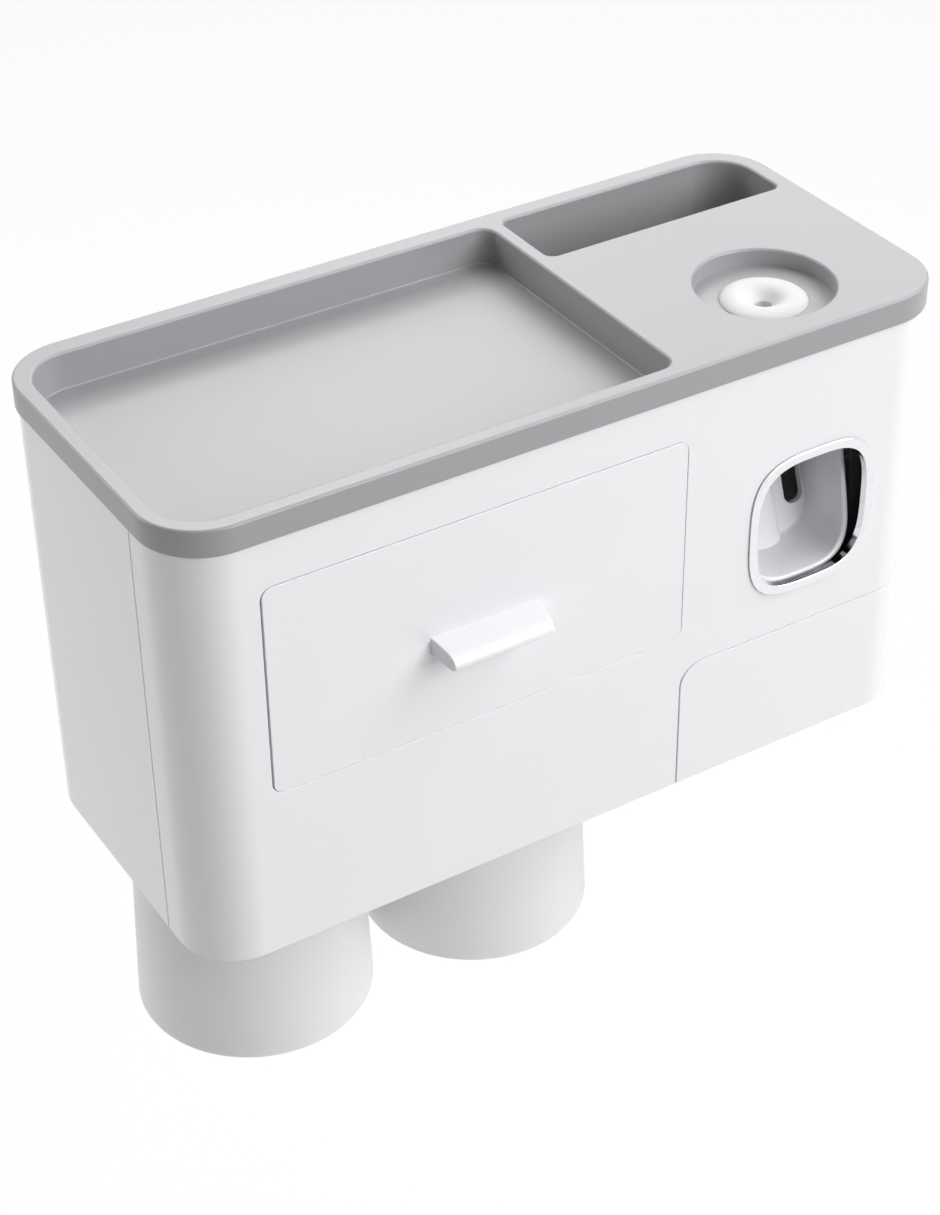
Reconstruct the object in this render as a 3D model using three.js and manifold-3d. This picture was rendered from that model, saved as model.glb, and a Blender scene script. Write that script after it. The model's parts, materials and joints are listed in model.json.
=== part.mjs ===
// Wall-hung toothbrush holder with a top tray, a drawer, a toothpaste pump and two hanging cups.
// Millimetres, +Z up, front towards -Y. Heights are counted from the casing's lower edge, and the
// whole group is lowered at the end so that the origin is the centre of the wall plate's pad.
import * as THREE from 'three';
import { mergeVertices } from 'three/addons/utils/BufferGeometryUtils.js';
import Module from 'manifold-3d';

const wasm = await Module();
wasm.setup();

// Casing and tray
const WIDTH = 250; // tray, side to side
const DEPTH = 108.5; // tray, front to back
const CASE_HEIGHT = 136.3; // lower edge of the casing to the tray's band
const BAND_HEIGHT = 8.2; // grey band round the tray
const CORNER_RADIUS = 19; // tray corners in plan
const OVERHANG = 1; // band beyond the casing
const STANDOFF = 1; // tray's back edge to the wall
const WALL = 2.4; // casing walls
const GAP = 0.3; // between pieces that touch
const COVER_DEPTH = 24.8; // front face to the side seams
const ROOM_HEIGHT = 86.3; // underside of the shelf to the tray's band
const SHELF_THICK = 2.5;
const BRUSH_BAY = 90.4; // right side wall to the far face of the partition
const PARTITION_THICK = 2.5;

// Tray recesses
const DECK = 2.2; // tray skin
const RIM = 5; // flat rim round the pan
const SKIRT_DEPTH = 5; // locating skirt below the band
const SKIRT_THICK = 1.6;
const PAN_DEPTH = 11.5;
const PAN_BACK_RIM = 6.8;
const PAN_CORNER = 14;
const PAN_INNER_CORNER = 5; // the two corners at the divider
const DIVIDER = 4.5; // between pan and phone slot
const SLOT_RIM = 5.5; // phone slot to the tray's right edge
const SLOT_DEPTH = 27; // front to back
const SLOT_DROP = 48;
const SLOT_CORNER = 3;
const SLOT_BACK_CORNER = 13; // the corner that follows the tray's own
const SLOT_WALL = 1.8;
const INLET_RADIUS = 20.5;
const INLET_DROP = 5.5; // tray top to the seal's flange
const INLET_WALL = 2;

// Drawer
const DRAWER_SET = 24.3; // casing's left side to the front panel
const DRAWER_RISE = 35.8; // shelf to the middle of the front panel
const DRAWER_LAP = 1.5; // front panel beyond the near face of the partition
const DRAWER_HEIGHT = 65.6;
const DRAWER_CORNER = 3;
const DRAWER_GAP = 0.8; // slit round the panel
const DRAWER_LENGTH = 92; // front face to the box's back
const DRAWER_TRAVEL = 70;
const DRAWER_SKIN = 2;
const DRAWER_SIDE = 53; // height of the box's sides
const RUNNER_HEIGHT = 3.9;
const RUNNER_WIDTH = 6;
const RUNNER_SPREAD = 90; // between the two runners
const RUNNER_FRONT = 8; // front face to the runners' ends
const STOP_RISE = 4; // stop fingers above the opening
const HANDLE_WIDTH = 34;
const HANDLE_TIP_WIDTH = 31.8;
const HANDLE_REACH = 11.1;
const HANDLE_HEIGHT = 5.7;
const HANDLE_SKIN = 2.4; // over the finger space
const HANDLE_CHEEK = 1.8; // beside the finger space
const HANDLE_NOSE = 2.6; // rounded and bevelled front edge
const HANDLE_SINK = 1; // middle of the front panel down to the pull's top
const HANDLE_FALL = 1.1; // of its top towards the nose
const PEG_RADIUS = 0.8;
const PEG_SPREAD = 20;

// Dispenser window, frame and lever
const PUMP_SET = 45.2; // casing's right side to the middle of the window and of the inlet
const PUMP_BACK = 28; // front face to the pump's axis
const WINDOW_DROP = 25.6; // pivot down to the middle of the window
const WINDOW_WIDTH = 39;
const WINDOW_HEIGHT = 42;
const WINDOW_POWER = 3.3; // squareness of the window's outline
const BEZEL_FACE = 2.9; // width of the bright ring
const BEZEL_THICK = 0.5;
const SPIGOT_THICK = 0.9;
const SPIGOT_DEPTH = 1.5;
const BOSS_LENGTH = 5;
const BOSS_RADIUS = 3.4;
const BOSS_SPREAD = 53.6;
const BOSS_RISE = 4.5; // shelf to the lower screws
const BOSS_HEIGHT = 57; // lower screws to the upper ones
const FRAME_SIDE = 2.45; // plate beyond the screws, sideways
const FRAME_PLATE = 2.2;
const FRAME_MARGIN = 4; // plate beyond the screws, up and down
const MOUTH_CLEAR = 1.3; // plate to the scoop that swings through it
const CHEEK_INNER = 21.3;
const CHEEK_THICK = 2.2;
const CRADLE_LENGTH = 37.5; // frame plate to the back of the pump cradle
const LEVER_TILT = THREE.MathUtils.degToRad(11); // the scoop leans forward by its whole travel
const PIVOT_DROP = 6; // pump's cradle down to the pivot
const PIVOT_BACK = 16; // front face to the pivot
const PIVOT_RADIUS = 1.5;
const BARREL_RADIUS = 3.4;
const BARREL_LENGTH = 37;
const SCOOP_WIDTH = 38.4;
const SCOOP_HEIGHT = 39.6;
const SCOOP_DROP = 30.2; // pivot down to the middle of the scoop
const SCOOP_SET = 3.8; // rim in front of the pivot
const SCOOP_DEPTH = 18; // at its lower edge
const SCOOP_SLOPE = THREE.MathUtils.degToRad(8.5); // back of the scoop falls away upwards
const SCOOP_SKIN = 2;
// inset and share of the depth, from the rim to the edge of the back wall
const SCOOP_FLOW = [[0, 0], [0.1, 0.97], [0.5, 1]];
const SCOOP_MOUTH = 15; // pivot down to the open top of the scoop
const SCOOP_ARM = 2.6;
const SCOOP_SLOT = 5; // width of the two slots beside the rib
const SCOOP_SLOT_X = 14.2;
const SCOOP_SLOT_LOW = 36.9; // pivot down to the slots' round ends
const RIB_WIDTH = 13; // upright rib on the back wall
const RIB_DEPTH = 3;
const FORK_REACH = 12; // pivot to the pump's axis
const FORK_RADIUS = 1.5;
const FORK_WIDTH = 2.8;
const FORK_GAP = 9.2;

// Pump
const BORE = 22;
const PUMP_WALL = 2;
const PUMP_SINK = 2.3; // tray's band down to the pump's roof
const PUMP_HEIGHT = 22;
const PUMP_ROOF = 2.5;
const PUMP_FLANGE = 16; // radius of the shoulder on the cradle
const PUMP_HEAD = 20.2; // radius of the flange under the seal
const PUMP_SHOULDER = 2.2;
const CRADLE_THICK = 2.5;
const FOOT_RADIUS = 7.5;
const FOOT_THICK = 2.4;
const ROD_RADIUS = 4.2;
const PISTON_RISE = 1.2; // cradle to the piston at rest
const PISTON_HEIGHT = 5.4;
const RING_HEIGHT = 1.4;
const RING_THICK = 1.1;
const DUCT_RADIUS = 1.5;
const TAIL_RADIUS = 2.6;
const TAIL_LENGTH = 4.2;
const NOZZLE_RADIUS = 2.4;
const NOZZLE_SOCKET = 4;
const NOZZLE_REACH = 10;
const NOZZLE_DROP = 9.2; // pivot down to the nozzle's arm
const NOZZLE_TIP = 4.6;
const SPRING_RADIUS = 8;
const SPRING_WIRE = 1;
const SPRING_TURNS = 5;
const SPRING_STEPS = 8; // rings in one turn
const SPRING_SIDES = 5; // corners of the wire
const VALVE_RADIUS = 6;
const VALVE_STEM = 1.6;
const SEAL_RADIUS = 22;
const SEAL_DOME = 1.6; // dome above the seal's flange
const SEAL_DOME_RADIUS = 12.7;
const SEAL_FUNNEL = 4.5;

// Brush bay
const DOOR_WIDTH = 89.8;
const DOOR_DROP = 7; // underside of the shelf to the door's top
const DOOR_CORNER = 7.5;
const DOOR_GAP = 0.5;
const KNUCKLE_RADIUS = 2; // hinge tube, flush with the side face
const KNUCKLE_LENGTH = 6; // the two housing knuckles
const KNUCKLE_LOW = 7;
const KNUCKLE_DROP = 13; // door's top to the upper knuckle
const KNUCKLE_GAP = 0.4;
const HINGE_PIN = 0.8;
const HINGE_PIN_DROP = 4; // door's top to the pin's
const RACK_Z = 4;
const RACK_THICK = 2.5;
const RACK_LEDGE = 2.5;
const RACK_FRONT = 8; // front face to the rack's front edge
const RACK_SIDE = 3; // rack to the side wall
const RACK_RIB = 5;
const BRUSH_COUNT = 4;
const BRUSH_PITCH = 19.5;
const BRUSH_SLOT = 8;
const BRUSH_SEAT = 5.5;
const BRUSH_REACH = 30;

// Cups and their magnets
const CUP_SHIFT = 2.4; // middle of the two cups to the left of their bay's
const CUP_SPARE = 8.8; // width of the bay that two cups leave over
const CUP_SPACE = 6.2; // between the two mouths
const CUP_BACK = 49.2; // front face to the cups' axes
const CUP_ROOM = 4; // underside of the shelf to the cups' bases
const CUP_HEIGHT = 102.5;
const CUP_TAPER = 4; // radius of the mouth less that of the base
const CUP_SKIN = 1.8;
const CUP_EDGE = 3; // rounding of the base
const MAGNET_RADIUS = 10;
const MAGNET_THICK = 2.4;
const CAP_THICK = 0.8;
const HOLDER_WALL = 2.5;
const CUP_CLEAR = 0.4; // cup base to its holder

// Wall plate and screws
const PLATE_MARGIN = 25; // tray's ends to the plate's
const PLATE_HEIGHT = 54;
const PLATE_DROP = 73.3; // tray's band to the plate's middle
const PLATE_CORNER = 10;
const PLATE_THICK = 2;
const PAD_THICK = 0.8;
const HOOK_WIDTH = 12;
const HOOK_THICK = 3;
const HOOK_LIP = 5;
const HOOK_LIP_THICK = 2.2;
const HOOK_RISE = 17; // above the plate's middle
const HOOK_SET = 20; // plate's ends to the hooks
const HOOK_SLACK = 0.8;
const SCREW_RADIUS = 1.2;
const SCREW_HEAD = 2.8;
const SCREW_HEAD_THICK = 1.8;
const SCREW_LENGTH = 7;
const COVER_SCREW_SET = 11; // casing's sides to the screws
const COVER_SCREW_BACK = 11.5;
const COVER_TAB = 9;
const COVER_TAB_LENGTH = 13;
const COVER_TAB_THICK = 6;
const LIP_THICK = 1.5;
const LIP_REACH = 6;
const LIP_ROOT = 4;

// Faces and axes that several pieces share
const TRAY_TOP = CASE_HEIGHT + BAND_HEIGHT;
const TRAY_BACK = -STANDOFF;
const TRAY_FRONT = TRAY_BACK - DEPTH;
const BACK = TRAY_BACK - OVERHANG;
const FRONT = TRAY_FRONT + OVERHANG;
const SIDE = WIDTH / 2 - OVERHANG;
const CASE_TOP = CASE_HEIGHT - GAP;
const SEAM = FRONT + COVER_DEPTH;
const INNER_BACK = BACK - WALL;
const INNER_FRONT = FRONT + WALL;
const INNER_SIDE = SIDE - WALL;
const SHELF_HEIGHT = CASE_HEIGHT - ROOM_HEIGHT;
const SHELF_TOP = SHELF_HEIGHT + SHELF_THICK;
const PARTITION_X = INNER_SIDE - BRUSH_BAY;
const PARTITION_RIGHT = PARTITION_X + PARTITION_THICK;
const PUMP_X = SIDE - PUMP_SET;
const PUMP_Y = FRONT + PUMP_BACK;
const PUMP_TOP = CASE_HEIGHT - PUMP_SINK;
const CRADLE_Z = PUMP_TOP - PUMP_HEIGHT;
const PISTON_LOW = CRADLE_Z + PISTON_RISE;
const PIVOT_Z = CRADLE_Z - PIVOT_DROP;
const NOZZLE_Z = PIVOT_Z - NOZZLE_DROP;
const WINDOW_Z = PIVOT_Z - WINDOW_DROP;
const BOSS_LOW = SHELF_TOP + BOSS_RISE;
const BOSS_HIGH = BOSS_LOW + BOSS_HEIGHT;
const PIVOT_Y = FRONT + PIVOT_BACK;
const PLATE_WIDTH = WIDTH - PLATE_MARGIN * 2;
const HOOK_SPREAD = PLATE_WIDTH - HOOK_SET * 2;
const COVER_SCREW_X = SIDE - COVER_SCREW_SET;
const PLATE_BACK = -PAD_THICK - GAP;
const PLATE_FRONT = PLATE_BACK - PLATE_THICK;
const RECESS = PLATE_FRONT - GAP * 2;
const PLATE_Z = CASE_HEIGHT - PLATE_DROP;
const HOOK_Z = PLATE_Z + HOOK_RISE;
const FRAME_FRONT = INNER_FRONT + BOSS_LENGTH + GAP;
const FRAME_BACK = FRAME_FRONT + FRAME_PLATE;
const BORE_RADIUS = BORE / 2;
const PUMP_RADIUS = BORE_RADIUS + PUMP_WALL;
const ROOF_LOW = PUMP_TOP - PUMP_ROOF;
const FOOT_LOW = PIVOT_Z + FORK_RADIUS + GAP - FORK_REACH * Math.sin(LEVER_TILT / 2);
const PISTON_TOP = PISTON_LOW + PISTON_HEIGHT;
const SEAL_LOW = PUMP_TOP + GAP;
const SEAL_TOP = TRAY_TOP - INLET_DROP;
const DOOR_LEFT = SIDE - DOOR_WIDTH;
const DOOR_HEIGHT = SHELF_HEIGHT - DOOR_DROP;
const KNUCKLE_HIGH = DOOR_HEIGHT - KNUCKLE_DROP;
const HINGE_PIN_TOP = DOOR_HEIGHT - HINGE_PIN_DROP;
const HINGE_X = SIDE - KNUCKLE_RADIUS;
const HINGE_Y = SEAM - KNUCKLE_RADIUS - DOOR_GAP;
const RACK_LEFT = PARTITION_RIGHT + GAP * 2;
const RACK_RIGHT = INNER_SIDE - RACK_SIDE;
const CUP_MOUTH = (PARTITION_X + INNER_SIDE - CUP_SPARE) / 4;
const CUP_BASE = CUP_MOUTH - CUP_TAPER;
const CUP_PITCH = CUP_MOUTH * 2 + CUP_SPACE;
const CUP_X = (PARTITION_X - INNER_SIDE) / 2 - CUP_SHIFT;
const CUP_Y = FRONT + CUP_BACK;
const CUP_BASE_Z = SHELF_HEIGHT - CUP_ROOM;
const DRAWER_Z = SHELF_TOP + DRAWER_RISE;
const HANDLE_TOP = DRAWER_Z - HANDLE_SINK;
const DRAWER_LOW = DRAWER_Z - DRAWER_HEIGHT / 2;
const DRAWER_HIGH = DRAWER_Z + DRAWER_HEIGHT / 2;
const DRAWER_LEFT = DRAWER_SET - SIDE;
const DRAWER_RIGHT = PARTITION_X + DRAWER_LAP;
const DRAWER_X = (DRAWER_LEFT + DRAWER_RIGHT) / 2;
const BOX_LOW = SHELF_TOP + RUNNER_HEIGHT + GAP;

// Sides of round forms, from pins to cups
const FEW = 12;
const SOME = 20;
const MANY = 28;
const MOST = 40;
const CORNER_STEPS = 5; // chords in a rounded corner
const OVER = 1; // how far a cutting tool runs past the face it cuts
const ROOT = 0.5; // how far a joined feature runs into its wall

// Solids and their joins

function solid(geometry) {
  geometry.deleteAttribute('normal');
  geometry.deleteAttribute('uv');
  const merged = mergeVertices(geometry, 1e-4);
  return new wasm.Manifold(new wasm.Mesh({
    numProp: 3,
    vertProperties: new Float32Array(merged.attributes.position.array),
    triVerts: new Uint32Array(merged.index.array),
  }));
}

const join = (...bodies) => bodies.reduce((sum, body) => sum.add(body));
const cut = (body, ...tools) => tools.reduce((rest, tool) => rest.subtract(tool), body);

function piece(name, body, finish) {
  const { vertProperties, triVerts } = body.getMesh();
  const geometry = new THREE.BufferGeometry();
  geometry.setAttribute('position', new THREE.BufferAttribute(vertProperties, 3));
  geometry.setIndex(new THREE.BufferAttribute(triVerts, 1));
  geometry.computeVertexNormals();
  const mesh = new THREE.Mesh(geometry, finish);
  mesh.name = name;
  return mesh;
}

function box(x0, x1, y0, y1, z0, z1) {
  const block = new THREE.BoxGeometry(x1 - x0, y1 - y0, z1 - z0);
  return solid(block.translate((x0 + x1) / 2, (y0 + y1) / 2, (z0 + z1) / 2));
}

function extrusion(outline, depth) {
  return new THREE.ExtrudeGeometry(outline, { depth, bevelEnabled: false, curveSegments: CORNER_STEPS });
}

// An outline in plan, raised from z0 to z1
function upright(outline, z0, z1) {
  return solid(extrusion(outline, z1 - z0).translate(0, 0, z0));
}

// An outline seen from the front (x, z), running from y0 back to y1
function frontal(outline, y0, y1) {
  return solid(extrusion(outline, y1 - y0).rotateX(Math.PI / 2).translate(0, y1, 0));
}

const SIDEWAYS = new THREE.Matrix4().makeBasis(
  new THREE.Vector3(0, 1, 0),
  new THREE.Vector3(0, 0, 1),
  new THREE.Vector3(1, 0, 0),
);

// An outline seen from the side (y, z), running from x0 to x1
function lateral(outline, x0, x1) {
  return solid(extrusion(outline, x1 - x0).applyMatrix4(SIDEWAYS).translate(x0, 0, 0));
}

function post(radius, x, y, z0, z1, sides = SOME) {
  const rod = new THREE.CylinderGeometry(radius, radius, z1 - z0, sides);
  return solid(rod.rotateX(Math.PI / 2).translate(x, y, (z0 + z1) / 2));
}

function crossRod(radius, x0, x1, y, z, sides = SOME) {
  const rod = new THREE.CylinderGeometry(radius, radius, x1 - x0, sides);
  return solid(rod.rotateZ(Math.PI / 2).translate((x0 + x1) / 2, y, z));
}

function throughRod(radius, x, y0, y1, z, sides = SOME) {
  const rod = new THREE.CylinderGeometry(radius, radius, y1 - y0, sides);
  return solid(rod.translate(x, (y0 + y1) / 2, z));
}

// A profile of [radius, height] pairs turned about an upright axis
function turned(profile, x, y, sides) {
  const points = profile.map(([radius, height]) => new THREE.Vector2(radius, height));
  return solid(new THREE.LatheGeometry(points, sides).rotateX(Math.PI / 2).translate(x, y, 0));
}

// A ring profile closes on itself
const turnedRing = (profile, x, y, sides) => turned([...profile, profile[0]], x, y, sides);

// radii: front left, front right, back right, back left
function roundRect(x0, x1, y0, y1, radii) {
  const [a, b, c, d] = Array.isArray(radii) ? radii : [radii, radii, radii, radii];
  const outline = new THREE.Shape();
  outline.moveTo(x0 + a, y0);
  outline.lineTo(x1 - b, y0);
  outline.absarc(x1 - b, y0 + b, b, -Math.PI / 2, 0);
  outline.lineTo(x1, y1 - c);
  outline.absarc(x1 - c, y1 - c, c, 0, Math.PI / 2);
  outline.lineTo(x0 + d, y1);
  outline.absarc(x0 + d, y1 - d, d, Math.PI / 2, Math.PI);
  outline.lineTo(x0, y0 + a);
  outline.absarc(x0 + a, y0 + a, a, Math.PI, Math.PI * 1.5);
  return outline;
}

// The casing's plan, drawn in by a distance
function casePlan(inset) {
  const radius = CORNER_RADIUS - OVERHANG - inset;
  return roundRect(-SIDE + inset, SIDE - inset, FRONT + inset, BACK - inset, radius);
}

function squircle(halfWidth, halfHeight, count = MOST) {
  const points = [];
  for (let i = 0; i < count; i++) {
    const turn = (i / count) * Math.PI * 2;
    const bulge = (v) => Math.sign(v) * Math.abs(v) ** (2 / WINDOW_POWER);
    points.push(new THREE.Vector2(halfWidth * bulge(Math.cos(turn)), halfHeight * bulge(Math.sin(turn))));
  }
  return points;
}

// The window's outline on the front face, grown by a distance
function windowOutline(grow) {
  const place = new THREE.Vector2(PUMP_X, WINDOW_Z);
  const points = squircle(WINDOW_WIDTH / 2 + grow, WINDOW_HEIGHT / 2 + grow);
  return new THREE.Shape(points.map((point) => point.add(place)));
}

// A skin through rings of equal counts, closed by a flat fan at both ends
function loft(rings) {
  const count = rings[0].length;
  const points = rings.flat();
  const middle = (ring) => ring.reduce((sum, p) => sum.add(p), new THREE.Vector3()).divideScalar(count);
  points.push(middle(rings[0]), middle(rings.at(-1)));
  const index = [];
  for (let k = 0; k + 1 < rings.length; k++) {
    for (let i = 0; i < count; i++) {
      const a = k * count + i;
      const b = k * count + ((i + 1) % count);
      index.push(a, b, b + count, a, b + count, a + count);
    }
  }
  const end = (rings.length - 1) * count;
  for (let i = 0; i < count; i++) {
    const next = (i + 1) % count;
    index.push(next, i, rings.length * count);
    index.push(end + i, end + next, rings.length * count + 1);
  }
  const geometry = new THREE.BufferGeometry().setFromPoints(points);
  geometry.setIndex(index);
  return solid(geometry);
}

// Finishes

function finish(color, roughness, metalness = 0) {
  return new THREE.MeshStandardMaterial({ color, roughness, metalness });
}

const WHITE = finish(0xf2f2f4, 0.2);
const GREY = finish(0xc4c4c8, 0.45);
const INNER_WHITE = finish(0xe6e6e8, 0.4);
const CUP_WHITE = finish(0xe9e9ea, 0.55);
const CHARCOAL = finish(0x3a3a3c, 0.5);
const SILICONE = finish(0xf4f4f2, 0.6);
const BRIGHT = finish(0xd8dade, 0.08, 1);
const STEEL = finish(0xb4b6b8, 0.35, 1);
const MAGNET = finish(0x8f9194, 0.4, 1);
const FOAM = finish(0xdcdcd8, 0.9);

// Wall plate: a pad on the wall and a plate with two upward hooks

function wallPieces() {
  const plan = (inset) => roundRect(
    -PLATE_WIDTH / 2 + inset,
    PLATE_WIDTH / 2 - inset,
    PLATE_Z - PLATE_HEIGHT / 2 + inset,
    PLATE_Z + PLATE_HEIGHT / 2 - inset,
    PLATE_CORNER - inset,
  );
  const lipBack = RECESS - WALL - GAP * 2;
  const lipFront = lipBack - HOOK_LIP_THICK;
  let plate = frontal(plan(0), PLATE_FRONT, PLATE_BACK);
  for (const x of [-HOOK_SPREAD / 2, HOOK_SPREAD / 2]) {
    const left = x - HOOK_WIDTH / 2;
    const right = x + HOOK_WIDTH / 2;
    const neck = box(left, right, lipFront, PLATE_FRONT + ROOT, HOOK_Z, HOOK_Z + HOOK_THICK);
    const lip = box(left, right, lipFront, lipBack, HOOK_Z, HOOK_Z + HOOK_THICK + HOOK_LIP);
    plate = join(plate, neck, lip);
  }
  return [
    piece('adhesive_pad', frontal(plan(1), -PAD_THICK, 0), FOAM),
    piece('wall_plate', plate, INNER_WHITE),
  ];
}

// Rear housing: back and side walls, shelf, partition, runners, cup holders and hinge knuckles

function hangerCuts() {
  const half = PLATE_WIDTH / 2 + OVER;
  const lift = HOOK_LIP + HOOK_SLACK;
  const low = PLATE_Z - PLATE_HEIGHT / 2 - lift - OVER;
  const high = PLATE_Z + PLATE_HEIGHT / 2 + OVER;
  const slots = [-HOOK_SPREAD / 2, HOOK_SPREAD / 2].map((x) => box(
    x - HOOK_WIDTH / 2 - GAP * 2,
    x + HOOK_WIDTH / 2 + GAP * 2,
    RECESS - WALL - OVER,
    BACK,
    HOOK_Z - lift,
    HOOK_Z + HOOK_THICK + GAP,
  ));
  return {
    backing: box(-half - WALL, half + WALL, RECESS - WALL, INNER_BACK + ROOT, low - WALL, high + WALL),
    cuts: [box(-half, half, RECESS, BACK + OVER, low, high), ...slots],
  };
}

function cupHolder(x) {
  const radius = MAGNET_RADIUS + GAP + HOLDER_WALL;
  const low = CUP_BASE_Z + CUP_CLEAR;
  return {
    boss: post(radius, x, CUP_Y, low, SHELF_HEIGHT + ROOT, MANY),
    pocket: post(MAGNET_RADIUS + GAP, x, CUP_Y, low - OVER, SHELF_HEIGHT - GAP * 2, MANY),
  };
}

const cupPlaces = [['left', CUP_X - CUP_PITCH / 2], ['right', CUP_X + CUP_PITCH / 2]];

// Two knuckles on the right side wall that carry the door's pin
function hingeKnuckles() {
  return [KNUCKLE_LOW, KNUCKLE_HIGH].map((low) => {
    const high = low + KNUCKLE_LENGTH;
    const tube = post(KNUCKLE_RADIUS, HINGE_X, HINGE_Y, low, high, FEW);
    const web = box(HINGE_X - KNUCKLE_RADIUS, SIDE, HINGE_Y, SEAM + ROOT, low, high);
    return cut(join(tube, web), post(HINGE_PIN + GAP, HINGE_X, HINGE_Y, low - OVER, high + OVER, FEW));
  });
}

function rackLedges() {
  const low = RACK_Z - GAP - RACK_LEDGE;
  const high = RACK_Z - GAP;
  const left = PARTITION_RIGHT - ROOT;
  const back = INNER_BACK + ROOT;
  return [
    box(left, PARTITION_RIGHT + RACK_LEDGE, FRONT + RACK_FRONT + OVER, back, low, high),
    box(left, RACK_RIGHT, INNER_BACK - RACK_LEDGE * 2, back, low, high),
    box(RACK_RIGHT - RACK_LEDGE, INNER_SIDE + ROOT, SEAM + LIP_ROOT, BACK - CORNER_RADIUS, low, high),
  ];
}

function rearHousing() {
  const behindSeam = box(-SIDE - OVER, SIDE + OVER, SEAM, BACK + OVER, -OVER, TRAY_TOP);
  const shell = cut(upright(casePlan(0), 0, CASE_TOP), upright(casePlan(WALL), -OVER, TRAY_TOP));
  const hanger = hangerCuts();
  let body = cut(join(shell.intersect(behindSeam), hanger.backing), ...hanger.cuts);

  const beforeSeam = box(-SIDE, SIDE, FRONT, SEAM + OVER, 0, TRAY_TOP);
  const shelfFront = upright(casePlan(WALL + GAP * 2), SHELF_HEIGHT, SHELF_TOP).intersect(beforeSeam);
  const shelfBack = upright(casePlan(WALL - ROOT), SHELF_HEIGHT, SHELF_TOP).intersect(behindSeam);
  const wallFront = INNER_FRONT + GAP * 2;
  const wallTop = TRAY_TOP - PAN_DEPTH - DECK - GAP * 2;
  const partition = box(PARTITION_X, PARTITION_RIGHT, wallFront, INNER_BACK + ROOT, ROOT, wallTop);
  body = join(body, shelfFront, shelfBack, partition);

  for (const offset of [-RUNNER_SPREAD / 2, RUNNER_SPREAD / 2]) {
    const left = DRAWER_X + offset - RUNNER_WIDTH / 2;
    const right = left + RUNNER_WIDTH;
    const front = FRONT + RUNNER_FRONT;
    const top = SHELF_TOP + RUNNER_HEIGHT;
    body = join(body, box(left, right, front, FRONT + DRAWER_LENGTH, SHELF_TOP - ROOT, top));
  }
  const holders = cupPlaces.map(([, x]) => cupHolder(x));
  body = join(body, ...holders.map((holder) => holder.boss));
  body = cut(body, ...holders.map((holder) => holder.pocket));
  body = join(body, ...hingeKnuckles(), ...rackLedges());

  // Tongues that reach inside the front cover along both side seams
  const lipTop = CASE_TOP - SKIRT_DEPTH - GAP * 4;
  const lipOuter = INNER_SIDE - GAP;
  const lipInner = lipOuter - LIP_THICK;
  for (const mirror of [-1, 1]) {
    const xs = [lipInner * mirror, lipOuter * mirror].sort((a, b) => a - b);
    const roots = [lipInner * mirror, (INNER_SIDE + ROOT) * mirror].sort((a, b) => a - b);
    body = join(body, box(...xs, SEAM - LIP_REACH, SEAM + LIP_ROOT, SHELF_HEIGHT, lipTop));
    body = join(body, box(...roots, SEAM + GAP, SEAM + LIP_ROOT, SHELF_HEIGHT, lipTop));
  }
  const screwHoles = [-COVER_SCREW_X, COVER_SCREW_X].map((x) => post(
    SCREW_RADIUS + GAP,
    x,
    FRONT + COVER_SCREW_BACK,
    SHELF_HEIGHT - OVER,
    SHELF_TOP + OVER,
    FEW,
  ));
  return cut(body, ...screwHoles);
}

// Front cover: front wall and both front corners, with the drawer, window and door openings

const bossPlaces = [];
for (const z of [BOSS_LOW, BOSS_HIGH]) {
  for (const side of [-1, 1]) {
    bossPlaces.push([PUMP_X + (side * BOSS_SPREAD) / 2, z]);
  }
}

function doorOutline(grow) {
  const left = DOOR_LEFT - grow;
  const top = DOOR_HEIGHT + grow;
  const low = grow > 0 ? -OVER : 0;
  const radius = DOOR_CORNER;
  const outline = new THREE.Shape();
  outline.moveTo(left, low);
  outline.lineTo(SIDE + OVER, low);
  outline.lineTo(SIDE + OVER, top);
  outline.lineTo(left + radius, top);
  outline.absarc(left + radius, top - radius, radius, Math.PI / 2, Math.PI);
  return outline;
}

function drawerOutline(grow) {
  return roundRect(
    DRAWER_LEFT - grow,
    DRAWER_RIGHT + grow,
    DRAWER_LOW - grow,
    DRAWER_HIGH + grow,
    DRAWER_CORNER + grow,
  );
}

function frontCover() {
  const beforeSeam = box(-SIDE - OVER, SIDE + OVER, FRONT - OVER, SEAM - GAP, -OVER, TRAY_TOP);
  const shell = cut(upright(casePlan(0), 0, CASE_TOP), upright(casePlan(WALL), -OVER, TRAY_TOP));
  let body = cut(
    shell.intersect(beforeSeam),
    frontal(drawerOutline(DRAWER_GAP), FRONT - OVER, INNER_FRONT + OVER),
    frontal(windowOutline(SPIGOT_THICK + GAP), FRONT - OVER, INNER_FRONT + OVER),
    frontal(doorOutline(DOOR_GAP), FRONT - OVER, SEAM + OVER),
  );
  for (const [x, z] of bossPlaces) {
    body = join(body, throughRod(BOSS_RADIUS, x, INNER_FRONT - ROOT, INNER_FRONT + BOSS_LENGTH, z));
    body = cut(body, throughRod(SCREW_RADIUS + GAP, x, INNER_FRONT + GAP, FRAME_FRONT + OVER, z, FEW));
  }
  const within = upright(casePlan(ROOT), 0, CASE_TOP);
  for (const x of [-COVER_SCREW_X, COVER_SCREW_X]) {
    const low = SHELF_TOP + GAP;
    const high = low + COVER_TAB_THICK;
    const back = INNER_FRONT + COVER_TAB_LENGTH;
    const tab = box(x - COVER_TAB / 2, x + COVER_TAB / 2, FRONT, back, low, high);
    const hole = post(SCREW_RADIUS + GAP, x, FRONT + COVER_SCREW_BACK, low - OVER, high - OVER, FEW);
    body = join(body, cut(tab.intersect(within), hole));
  }
  return body;
}

// Top tray: band, deck, pan, phone pocket, inlet collar and locating skirt

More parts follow.
